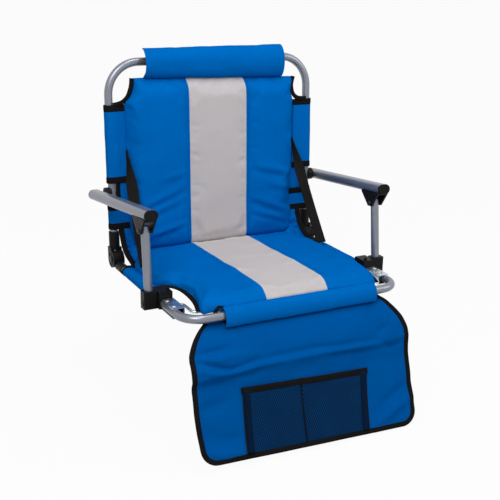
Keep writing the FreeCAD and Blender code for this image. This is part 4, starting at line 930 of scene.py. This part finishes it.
# Edge tapes: black polyester tape folded over each cut edge of the cover and sewn through.
# They follow the shoulder cut-outs, the gaps at the arm pivots and the hollows at hinges and front corners.
TAPE_WIDTH = 10.0
TAPE_THICK = 2.6
TAPE_SECTION = ((-1, -0.45), (-0.86, -1), (0, -1.06), (0.86, -1), (1, -0.45), (1, 0.45), (0.86, 1), (0, 1.06),
                (-0.86, 1), (-1, 0.45))
TAPE_STEPS = 6


def open_curve(stops, steps):
    """Points on a smooth open line through the stops."""
    stops = [Vector(stop) for stop in stops]
    ends = [stops[0] * 2 - stops[1]] + stops + [stops[-1] * 2 - stops[-2]]
    points = []
    for i in range(len(stops) - 1):
        points += [curve_point(*ends[i:i + 4], j / steps) for j in range(steps)]
    return points + [stops[-1]]


def tape_piece(name, line, outward, width, thick, finish):
    """Folded tape along a line: its flat faces look along outward, one direction for each point."""
    half, deep = width / 2 * MM, thick / 2 * MM
    points = []
    for i, here in enumerate(line):
        ahead = (line[min(i + 1, len(line) - 1)] - line[max(i - 1, 0)]).normalized()
        face = outward[i].normalized()
        sideways = ahead.cross(face).normalized()
        for across, out in TAPE_SECTION:
            points.append(here + sideways * across * half + face * out * deep)
    return make_piece(name, points, closed_faces(len(line), len(TAPE_SECTION), True), [finish])


def back_tape(name, stops):
    line = [back_place(*stop) for stop in open_curve(stops, TAPE_STEPS)]
    return tape_piece(name, line, [back_out] * len(line), TAPE_WIDTH, TAPE_THICK, black_tape)


def seat_tape(name, stops, width):
    line = [seat_place(*stop) for stop in open_curve(stops, TAPE_STEPS)]
    return tape_piece(name, line, [Vector((0, 0, 1))] * len(line), width, TAPE_THICK, black_tape)


SHOULDER_LINES = {
    "left": ((-244, 347.5, 0.4), (-232, 349.5, 1.2), (-221, 354, 2.4), (-211, 363.5, 3), (-205, 376, 3),
             (-201, 390, 3), (-199.5, 404, 2.6)),
    "right": ((244, 337.5, 0.4), (230, 338.5, 1.2), (217, 341.5, 2.4), (207.5, 350, 3), (203, 362, 3),
              (202.5, 375, 3), (207, 392, 2.6)),
}
PIVOT_GAP = {"left": 239.0, "right": 236.0}
PIVOT_GAP_UP = (175, 160, 140, 124)
PIVOT_GAP_OUT = -1.5
HINGE_HOLLOW = ((252, -65.5, 22.4), (243, -68, 22.6), (234, -72, 22.4), (226, -71, 22.6))
FRONT_HOLLOWS = {
    "left": ((-227, -212), (-218, -218.6), (-211.6, -225), (-203.7, -238.6), (-198.4, -257.8), (-197.3, -281),
             (-198.1, -303.5), (-201, -327.4), (-205.6, -350), (-214.3, -379)),
    "right": ((229, -227), (231, -245), (228, -275), (222, -305), (215, -335), (208, -360), (201, -380)),
}
HOLLOW_WIDTH = 12.5
HOLLOW_HEIGHT = 22.2
LOOP_STOPS = ((-186, -394, 17), (-182, -390, 25), (-176, -388, 28.4), (-168, -391, 27))
LOOP_MIDDLE = (-175, -390, 17)
LOOP_STEPS = 5
LOOP_WIDTH = 10.0
LOOP_THICK = 4.6
for side, word in SIDES:
    shoulder = back_tape("shoulder_tape_" + word, SHOULDER_LINES[word])
    gap_line = [(side * PIVOT_GAP[word], up, PIVOT_GAP_OUT) for up in PIVOT_GAP_UP]
    pivot_gap = back_tape("pivot_gap_tape_" + word, gap_line)
    hinge_line = [(side * across, along, height) for across, along, height in HINGE_HOLLOW]
    hinge_hollow = seat_tape("hinge_hollow_tape_" + word, hinge_line, TAPE_WIDTH)
    front_line = [(across, along, HOLLOW_HEIGHT) for across, along in FRONT_HOLLOWS[word]]
    front_hollow = seat_tape("front_hollow_tape_" + word, front_line, HOLLOW_WIDTH)
    for piece in (shoulder, pivot_gap):
        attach(piece, "back")
    for piece in (hinge_hollow, front_hollow):
        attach(piece, "seat")
loop_line = [seat_place(*point) for point in open_curve(LOOP_STOPS, LOOP_STEPS)]
loop_middle = seat_place(*LOOP_MIDDLE)
corner_loop = tape_piece("front_corner_loop", loop_line, [point - loop_middle for point in loop_line],
                         LOOP_WIDTH, LOOP_THICK, black_tape)
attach(corner_loop, "seat")

# Cover margins: beside the back pad the two layers of the cover lie flat between the sleeves.
# At each lower corner the same cloth runs on as a slack gusset from the back to the seat, with a taped edge.
MARGIN_INNER = {"left": 208.0, "right": 196.0}
MARGIN_OUTER = 240.0
MARGIN_OUT = -3.0
MARGIN_STEP = 5.0
MARGIN_COLUMNS = 6
MARGIN_UP = {"left": (118.0, 178.0), "right": (112.0, 337.0)}
GUSSET_EDGE = {
    "left": ((239, 6, 95), (239, -7, 67), (239, -18, 51), (238, -31, 39), (236, -50, 29), (235, -70, 22.5)),
    "right": ((227, 6, 95), (226, -7, 67), (227, -18, 51), (228, -31, 39), (230, -50, 29), (232, -70, 22.5)),
}
GUSSET_ROOT = {
    "left": ((208, 6.5, 97), (205, -1, 66), (203, -6, 46), (204, -18, 34), (212, -44, 24), (224, -68, 21)),
    "right": ((194, 6.5, 97), (190, -1, 66), (185, -5, 46), (186, -16, 32), (202, -44, 23), (221, -68, 21)),
}
GUSSET_CRUMPLE = 16.0
GUSSET_TAPE = 13.0
GUSSET_TAPE_INSET = 3.5
GUSSET_FACE = Vector((0, -0.7, 0.7))
GUSSET_STEPS = 8
GUSSET_COLUMNS = 12


def grid_faces(rows, columns, turned=False):
    """Faces of a sheet of points in rows."""
    faces = []
    for r in range(rows - 1):
        for c in range(columns - 1):
            first = r * columns + c
            face = (first, first + columns, first + columns + 1, first + 1)
            faces.append(tuple(reversed(face)) if turned else face)
    return faces


def cloth_sheet(name, rows, finish, thick, turned=False):
    """A thin smooth sheet from rows of points."""
    points = [point for row in rows for point in row]
    piece = make_piece(name, points, grid_faces(len(rows), len(rows[0]), turned), [finish])
    walled(piece, thick, 0)
    return smoothed(piece)


for side, word in SIDES:
    rows = []
    foot, head = MARGIN_UP[word]
    steps = int((head - foot) / MARGIN_STEP)
    for i in range(steps + 1):
        s = foot + (head - foot) * i / steps
        row = []
        for c in range(MARGIN_COLUMNS + 1):
            across = MARGIN_INNER[word] + (MARGIN_OUTER - MARGIN_INNER[word]) * c / MARGIN_COLUMNS
            slack = noise.noise(Vector((across / 20, s / 24, side))) * 0.8
            row.append(back_place(side * across, s, MARGIN_OUT + slack))
        rows.append(row)
    margin = cloth_sheet("back_margin_" + word, rows, blue_cloth, SLEEVE_WALL, side < 0)
    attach(margin, "back")
    edge = open_curve(GUSSET_EDGE[word], GUSSET_STEPS)
    root = open_curve(GUSSET_ROOT[word], GUSSET_STEPS)
    rows, edge_line = [], []
    for i, (outer, inner) in enumerate(zip(edge, root)):
        slack = math.sin(math.pi * i / (len(edge) - 1))
        row = []
        for c in range(GUSSET_COLUMNS + 1):
            share = c / GUSSET_COLUMNS
            point = inner.lerp(outer, share)
            crumple = noise.noise(Vector((share * 3.0, i / 3.4, 6 + side)))
            crumple *= math.sin(math.pi * share) ** 2 * slack
            point = point + GUSSET_FACE * crumple * GUSSET_CRUMPLE
            row.append(Vector((side * point.x, point.y, point.z)) * MM)
        rows.append(row)
        edge_line.append(row[-1] - Vector((side * GUSSET_TAPE_INSET, 0, 0)) * MM)
    gusset = cloth_sheet("corner_gusset_" + word, rows, blue_cloth, SLEEVE_WALL, side > 0)
    gusset_tape = tape_piece("corner_gusset_tape_" + word, edge_line, [GUSSET_FACE] * len(edge_line),
                             GUSSET_TAPE, TAPE_THICK, black_tape)
    for piece in (gusset, gusset_tape):
        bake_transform(piece)

# Side straps: black polypropylene webbing that stops the back from falling open.
# Each is sewn edge-on into the seam beside the back pad, turns flat and is sewn under the seat pad's edge.
STRAP_WIDTH = 25.0
STRAP_THICK = 1.7
STRAP_STEPS = 48
STRAP_UP = 246.0
STRAP_FOOT = (-113.0, 33.0)
STRAP_BOW = 2.5
STRAP_TURN_SHARE = 0.45
STRAP_WIDEN_SHARE = 0.3
STRAP_START_WIDTH = 0.35
STRAP_SECTION = ((-1, -1), (-0.94, -1.15), (0, -1.15), (0.94, -1.15), (1, -1), (1, 1), (0.94, 1.15),
                 (0, 1.15), (-0.94, 1.15), (-1, 1))
STRAP_HIGH = {"left": -217.0, "right": 204.0}
STRAP_LOW = {"left": -223.0, "right": 226.0}
WEBBING_DARK = (0.004, 0.004, 0.0045, 1)
WEBBING_LIT = (0.02, 0.0195, 0.0195, 1)

black_webbing = woven("black_webbing", WEBBING_DARK, WEBBING_LIT, 0.0024, 0.01, (0.6, 0.45))
for side, word in SIDES:
    high = back_place(STRAP_HIGH[word], STRAP_UP, 2)
    low = seat_place(STRAP_LOW[word], *STRAP_FOOT)
    run = (low - high).normalized()
    edge_on = Vector((0, run.z, -run.y))
    points = []
    for i in range(STRAP_STEPS + 1):
        t = i / STRAP_STEPS
        turn = min(1.0, t / STRAP_TURN_SHARE)
        turn = turn * turn * (3 - 2 * turn) * math.pi / 2
        flat = Vector((1, 0, 0)) * math.sin(turn) + edge_on * math.cos(turn)
        face = run.cross(flat).normalized()
        bow = math.sin(math.pi * t) * STRAP_BOW * MM
        here = high.lerp(low, t) + Vector((0, bow, -bow))
        narrow = STRAP_START_WIDTH + (1 - STRAP_START_WIDTH) * min(1.0, t / STRAP_WIDEN_SHARE)
        half, deep = STRAP_WIDTH / 2 * narrow * MM, STRAP_THICK / 2 * MM
        points += [here + flat * across * half + face * out * deep for across, out in STRAP_SECTION]
    faces = closed_faces(STRAP_STEPS + 1, len(STRAP_SECTION))
    strap = make_piece("side_strap_webbing_" + word, points, faces, [black_webbing])
    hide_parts("side_strap_" + word)
    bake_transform(strap)

# Apron: one sheet of the blue cloth, sewn on behind the front bar so that it hangs clear of the roll.
# It keeps the creases of having been folded away, hangs lower at the right and is bound with black tape. Its
# cloth is the blue cloth in darker tones, as painted shade for the dimmer light on the apron.
APRON_HANG = math.radians(16.0)
APRON_BAR = (-398.0, 11.0)
APRON_TOP = -9.0
APRON_FOOT = -292.5
APRON_SLANT = 0.032
APRON_CORNER = 34.0
APRON_STEP = 5.0
APRON_COLUMNS = 100
APRON_THICK = 1.0
BINDING_WIDTH = 11.0
BINDING_INSET = 4.5
BINDING_THICK = 3.0
BINDING_STITCH_INSET = 7.9
BINDING_STITCH_OUT = 1.7
CORNER_STEPS = 12
FOOT_STEPS = 70
# Painted shade: darker tones of the blue cloth, for the dimmer light on the hanging apron.
APRON_SHADED_DEEP = (0.0, 0.056, 0.238, 1)
APRON_SHADED_LIT = (0.0, 0.095, 0.355, 1)
FOLDS = (
    (((-256, -69), (-216, -67), (-189, -66), (-160, -62)), -7.2, 9),
    (((-256, -72), (-203, -78), (-170, -78), (-120, -80)), 4.8, 8),
    (((-256, -75), (-219, -89), (-193, -100), (-174, -106), (-149, -103), (-114, -97)), -8.0, 6),
    (((-130, -98), (-60, -96), (20, -95), (81, -101), (119, -100), (175, -104)), -5.6, 7),
    (((-243, -97), (-207, -108), (-174, -113), (-152, -112), (-117, -107), (-60, -106)), 7.2, 5),
    (((-90, -107), (-41, -107), (49, -106), (120, -111), (150, -112), (180, -112)), 5.6, 5),
    (((-179, -121), (-151, -121), (-128, -122), (-95, -117)), -5.6, 6),
    (((40, -118), (92, -120), (130, -121), (175, -121)), -4.8, 8),
    (((-256, -117), (-217, -115), (-190, -115)), 4.0, 6),
    (((-256, -132), (-207, -129), (-163, -132)), -5.6, 10),
    (((167, -22), (166, -48)), -4.8, 3.5),
    (((168, -92), (200, -76)), -4.8, 5),
    (((182, -116), (207, -123), (240, -114)), -5.6, 6),
    (((150, -281), (190, -264), (250, -238)), 5.6, 9),
    (((168, -246), (205, -230), (250, -204)), -4.8, 11),
    (((-245, -258), (-205, -270), (-160, -271)), 4.8, 9),
    (((-245, -228), (-190, -243), (-160, -240)), -4.0, 13),
    (((-250, -180), (-215, -172), (-180, -168)), -4.0, 12),
)

# Painted shade: the apron's own darker copy of the blue cloth.
apron_shaded_blue = woven("apron_cloth", APRON_SHADED_DEEP, APRON_SHADED_LIT, THREAD_PITCH, 0.0)


def apron_place(across, up, out):
    """A point on the hanging apron: across it, up from the front bar and out to the front, in mm."""
    y = APRON_BAR[0] + math.sin(APRON_HANG) * up - math.cos(APRON_HANG) * out
    z = APRON_BAR[1] + math.cos(APRON_HANG) * up + math.sin(APRON_HANG) * out
    return Vector((across, y, z)) * MM


def fold_height(across, up, folds):
    """Height of the creases at a point: each follows a line of points and fades out at both ends."""
    height = 0.0
    for line, lift, width in folds:
        nearest, share = 1e9, 0.0
        for k, ((x0, s0), (x1, s1)) in enumerate(zip(line, line[1:])):
            run = (x1 - x0) ** 2 + (s1 - s0) ** 2
            t = max(0.0, min(1.0, ((across - x0) * (x1 - x0) + (up - s0) * (s1 - s0)) / run))
            off = math.hypot(across - x0 - t * (x1 - x0), up - s0 - t * (s1 - s0))
            if off < nearest:
                nearest, share = off, (k + t) / (len(line) - 1)
        height += lift * math.exp(-(nearest / width) ** 2) * math.sin(math.pi * (0.1 + 0.8 * share))
    return height


apron_sag = eased((-300, 11), (-250, 7.5), (-200, 5), (-150, 5.5), (-128, 9), (-112, 15), (-104, 16.5),
                  (-70, 13), (-40, 4.5), (-27, -1.5), (-22, -5), (-13, -11.5), (-9, -12.5))
apron_left = eased((-250, 253), (-200, 255.5), (-130, 256.5), (-95, 257), (-72, 256), (-60, 252), (-44, 243),
                   (-28, 229), (-9, 208))
apron_right = eased((-233, 252), (-160, 251), (-120, 249.5), (-90, 249), (-66, 242), (-50, 233), (-28, 216),
                    (-9, 198))
apron_head = eased((-166, -9), (-158, -23), (174, -23), (182, -9))


def apron_half(side_half, up):
    """The apron's reach to one side at a height: curved shoulders, straight sides, round lower corners."""
    below = APRON_FOOT + APRON_CORNER - up
    if below <= 0:
        return side_half(up)
    return side_half(up) - APRON_CORNER + math.sqrt(max(0.0, APRON_CORNER ** 2 - below ** 2))


def apron_point(across, up, stand=0.0):
    """A point of the cloth as it hangs: lower to the right, creased, and up behind the bar by the roll."""
    head = min(1.0, max(0.0, (up + 60) / (60 + APRON_TOP))) ** 2
    hung = up + (apron_head(across) - APRON_TOP) * head - APRON_SLANT * across * up / APRON_FOOT
    free = min(1.0, max(0.0, (-25 - hung) / 25))
    wave = noise.noise(Vector((across / 95, hung / 70, 1.7))) * 2.4
    wave += noise.noise(Vector((across / 38, hung / 34, 8.3))) * 0.8
    out = apron_sag(hung) + free * wave + fold_height(across, hung, FOLDS)
    return apron_place(across, hung, out + stand)


apron_rows = []
place = APRON_TOP
while place > APRON_FOOT + APRON_CORNER:
    apron_rows.append(place)
    place -= APRON_STEP
for i in range(10):
    apron_rows.append(APRON_FOOT + APRON_CORNER * (1 - math.sin(math.pi / 2 * i / 9)))
cloth_rows = []
for up in apron_rows:
    left, right = apron_half(apron_left, up), apron_half(apron_right, up)
    reaches = [-left + (left + right) * c / APRON_COLUMNS for c in range(APRON_COLUMNS + 1)]
    cloth_rows.append([apron_point(across, up) for across in reaches])
apron = cloth_sheet("apron_cloth", cloth_rows, apron_shaded_blue, APRON_THICK)
apron_front = apron_place(0, 0, 1) - apron_place(0, 0, 0)


def edge_down(side_half, inset):
    """The apron's edge on one side, from its shoulder down and round to the foot, as (reach, up)."""
    side_rows = [up for up in apron_rows if up > APRON_FOOT + APRON_CORNER]
    line = [(side_half(up) - inset, up) for up in side_rows]
    middle = side_half(APRON_FOOT) - APRON_CORNER
    reach = APRON_CORNER - inset
    for i in range(CORNER_STEPS + 1):
        angle = math.pi / 2 * i / CORNER_STEPS
        line.append((middle + reach * math.cos(angle), APRON_FOOT + APRON_CORNER - reach * math.sin(angle)))
    return line


def apron_outline(inset):
    """The whole edge from the left shoulder round to the right one."""
    left = [(-reach, up) for reach, up in edge_down(apron_left, inset)]
    right = edge_down(apron_right, inset)
    start, end = left[-1][0], right[-1][0]
    foot = [(start + (end - start) * i / FOOT_STEPS, APRON_FOOT + inset) for i in range(1, FOOT_STEPS)]
    return left + foot + list(reversed(right))


binding_line = [apron_point(across, up) for across, up in apron_outline(BINDING_INSET)]
apron_binding = tape_piece("apron_binding_tape", binding_line, [apron_front] * len(binding_line),
                           BINDING_WIDTH, BINDING_THICK, black_tape)
stitch_line = []
for across, up in apron_outline(BINDING_STITCH_INSET):
    stitch_line.append((apron_point(across, up, BINDING_STITCH_OUT), apron_front))
binding_stitches = stitched("apron_binding_stitches", [stitch_line], black_thread)

# Pockets: two pouches of dark raschel net on the apron, under one band of black tape.
# The net stands a little away from the cloth at its mouth, and a line of stitches parts the two.
NET_EDGE = {"left": (-151.0, -157.0), "right": (141.0, 131.0)}
NET_MIDDLE = -18.0
NET_TOP = -158.0
NET_FOOT = -283.0
NET_TILT = 0.024
NET_BAND = 13.0
NET_ROWS = 24
NET_COLUMNS = 30
NET_THICK = 0.6
BAND_STEPS = 20
TRIM_STEPS = 60
TRIM_PAST = 2.0
TRIM_THICK = 1.8
NET_CELL = 0.005
NET_DARK = (0.0015, 0.006, 0.02, 1)
NET_THROUGH = (0.0, 0.06, 0.2, 1)
NET_DOUBLED = (0.0, 0.016, 0.05, 1)
HEM_MIDDLE = 10.0
HEM_WIDTH = 12.0
HEM_OUT = 4.2
HEM_THICK = 1.0
EDGE_WIDTH = 6.0
EDGE_OUT = 2.8
EDGE_THICK = 1.4
DIVIDER_WIDTH = 2.2
DIVIDER_OUT = 3.4
DIVIDER_THICK = 1.6
DIVIDER_LEAN = 3.0
DIVIDER_ABOVE = 0.06


def net_finish(name, dark, through):
    """Knitted net: rows of diamond holes, and the cloth behind seen through them, brighter or darker in
    patches as painted light and shade in the pouch.
    """
    made, tree, shader = new_finish(name)
    shader.inputs["Roughness"].default_value = 0.6
    shader.inputs["Specular IOR Level"].default_value = 0.03
    split = node(tree, "ShaderNodeSeparateXYZ")
    tree.links.new(node(tree, "ShaderNodeTexCoord").outputs["Object"], split.inputs[0])
    net_turns = 2 * math.pi / NET_CELL
    across_wave = calc(tree, "COSINE", calc(tree, "MULTIPLY", split.outputs["X"], net_turns))
    up_wave = calc(tree, "COSINE", calc(tree, "MULTIPLY", split.outputs["Z"], net_turns * 0.62))
    holes = calc(tree, "MULTIPLY_ADD", calc(tree, "MULTIPLY", across_wave, up_wave), 0.5, 0.5)
    sharp_holes = calc(tree, "SMOOTH_MIN", calc(tree, "POWER", holes, 1.6), 0.9, 0.1)
    # Painted light and shade: random patches brighten or darken the cloth seen through the holes.
    pouch_shade_patches = speckle(tree, 14, 3)
    lit_holes = calc(tree, "MULTIPLY", sharp_holes, spread(tree, pouch_shade_patches, 0.45, 1.15))
    two_tone(tree, lit_holes, dark, through, shader)
    relief(tree, holes, 0.0005, 0.5, shader)
    return made


net_cloth = net_finish("pocket_net", NET_DARK, NET_THROUGH)
doubled_net = net_finish("doubled_net", NET_DARK, NET_DOUBLED)


def net_edge(word, share):
    """The pocket's outer edge, at a share of the way down from the mouth."""
    mouth, foot = NET_EDGE[word]
    return mouth + (foot - mouth) * share


def net_point(across, share, stand):
    """A point of the pocket: its share of the way down, and how far it stands off the cloth."""
    mouth = NET_TOP - NET_TILT * (across - NET_MIDDLE)
    return apron_point(across, mouth + (NET_FOOT - mouth) * share, stand)


nets, side_bands = [], []
band_shares = [i / BAND_STEPS for i in range(BAND_STEPS + 1)]
faces_out = [apron_front] * len(band_shares)
for side, word in SIDES:
    rows = []
    for r in range(NET_ROWS + 1):
        share = r / NET_ROWS
        row = []
        for c in range(NET_COLUMNS + 1):
            across = NET_MIDDLE + (net_edge(word, share) - NET_MIDDLE) * c / NET_COLUMNS
            pouch = math.sin(math.pi * c / NET_COLUMNS) ** 0.7 * (1 - share) ** 0.6
            row.append(net_point(across, share, 1.6 + 3.5 * pouch))
        rows.append(row)
    net = cloth_sheet("pocket_net_cloth_" + word, rows, net_cloth, NET_THICK, side < 0)
    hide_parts("pocket_net_" + word)
    nets.append(net)
    bands = (
        ("pocket_edge_tape_", EDGE_WIDTH / 2, EDGE_OUT, EDGE_WIDTH, EDGE_THICK, black_tape),
        ("pocket_hem_", HEM_MIDDLE, HEM_OUT, HEM_WIDTH, HEM_THICK, doubled_net),
    )
    for name, inset, out, width, thick, finish in bands:
        line = [net_point(net_edge(word, share) - side * inset, share, out) for share in band_shares]
        side_bands.append(tape_piece(name + word, line, faces_out, width, thick, finish))

trim_line = []
mouth_left, mouth_right = net_edge("left", 0), net_edge("right", 0)
for i in range(TRIM_STEPS + 1):
    across = mouth_left - TRIM_PAST + (mouth_right - mouth_left + 2 * TRIM_PAST) * i / TRIM_STEPS
    reach = mouth_left if across < NET_MIDDLE else mouth_right
    pouch = math.sin(math.pi * min(1.0, (across - NET_MIDDLE) / (reach - NET_MIDDLE))) ** 0.7
    trim_line.append(net_point(across, 0.0, 2.4 + 3.2 * pouch))
pocket_trim = tape_piece("pocket_trim_tape", trim_line, [apron_front] * len(trim_line), NET_BAND, TRIM_THICK,
                         black_tape)
divider_line = []
for share in band_shares:
    down = (1 + DIVIDER_ABOVE) * share - DIVIDER_ABOVE
    divider_line.append(net_point(NET_MIDDLE - DIVIDER_LEAN * share, down, DIVIDER_OUT))
side_bands.append(tape_piece("pocket_divider_tape", divider_line, faces_out, DIVIDER_WIDTH, DIVIDER_THICK,
                             black_tape))
pocket_stitches = stitched("pocket_stitches", [
    [(point + apron_front.normalized() * 1.2 * MM, apron_front) for point in trim_line]], black_thread)

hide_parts("apron_panel")
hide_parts("apron_binding")
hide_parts("pocket_trim")
apron_trims = [apron_binding, binding_stitches, pocket_trim, pocket_stitches] + nets + side_bands
for piece in [apron] + apron_trims:
    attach(piece, "apron")
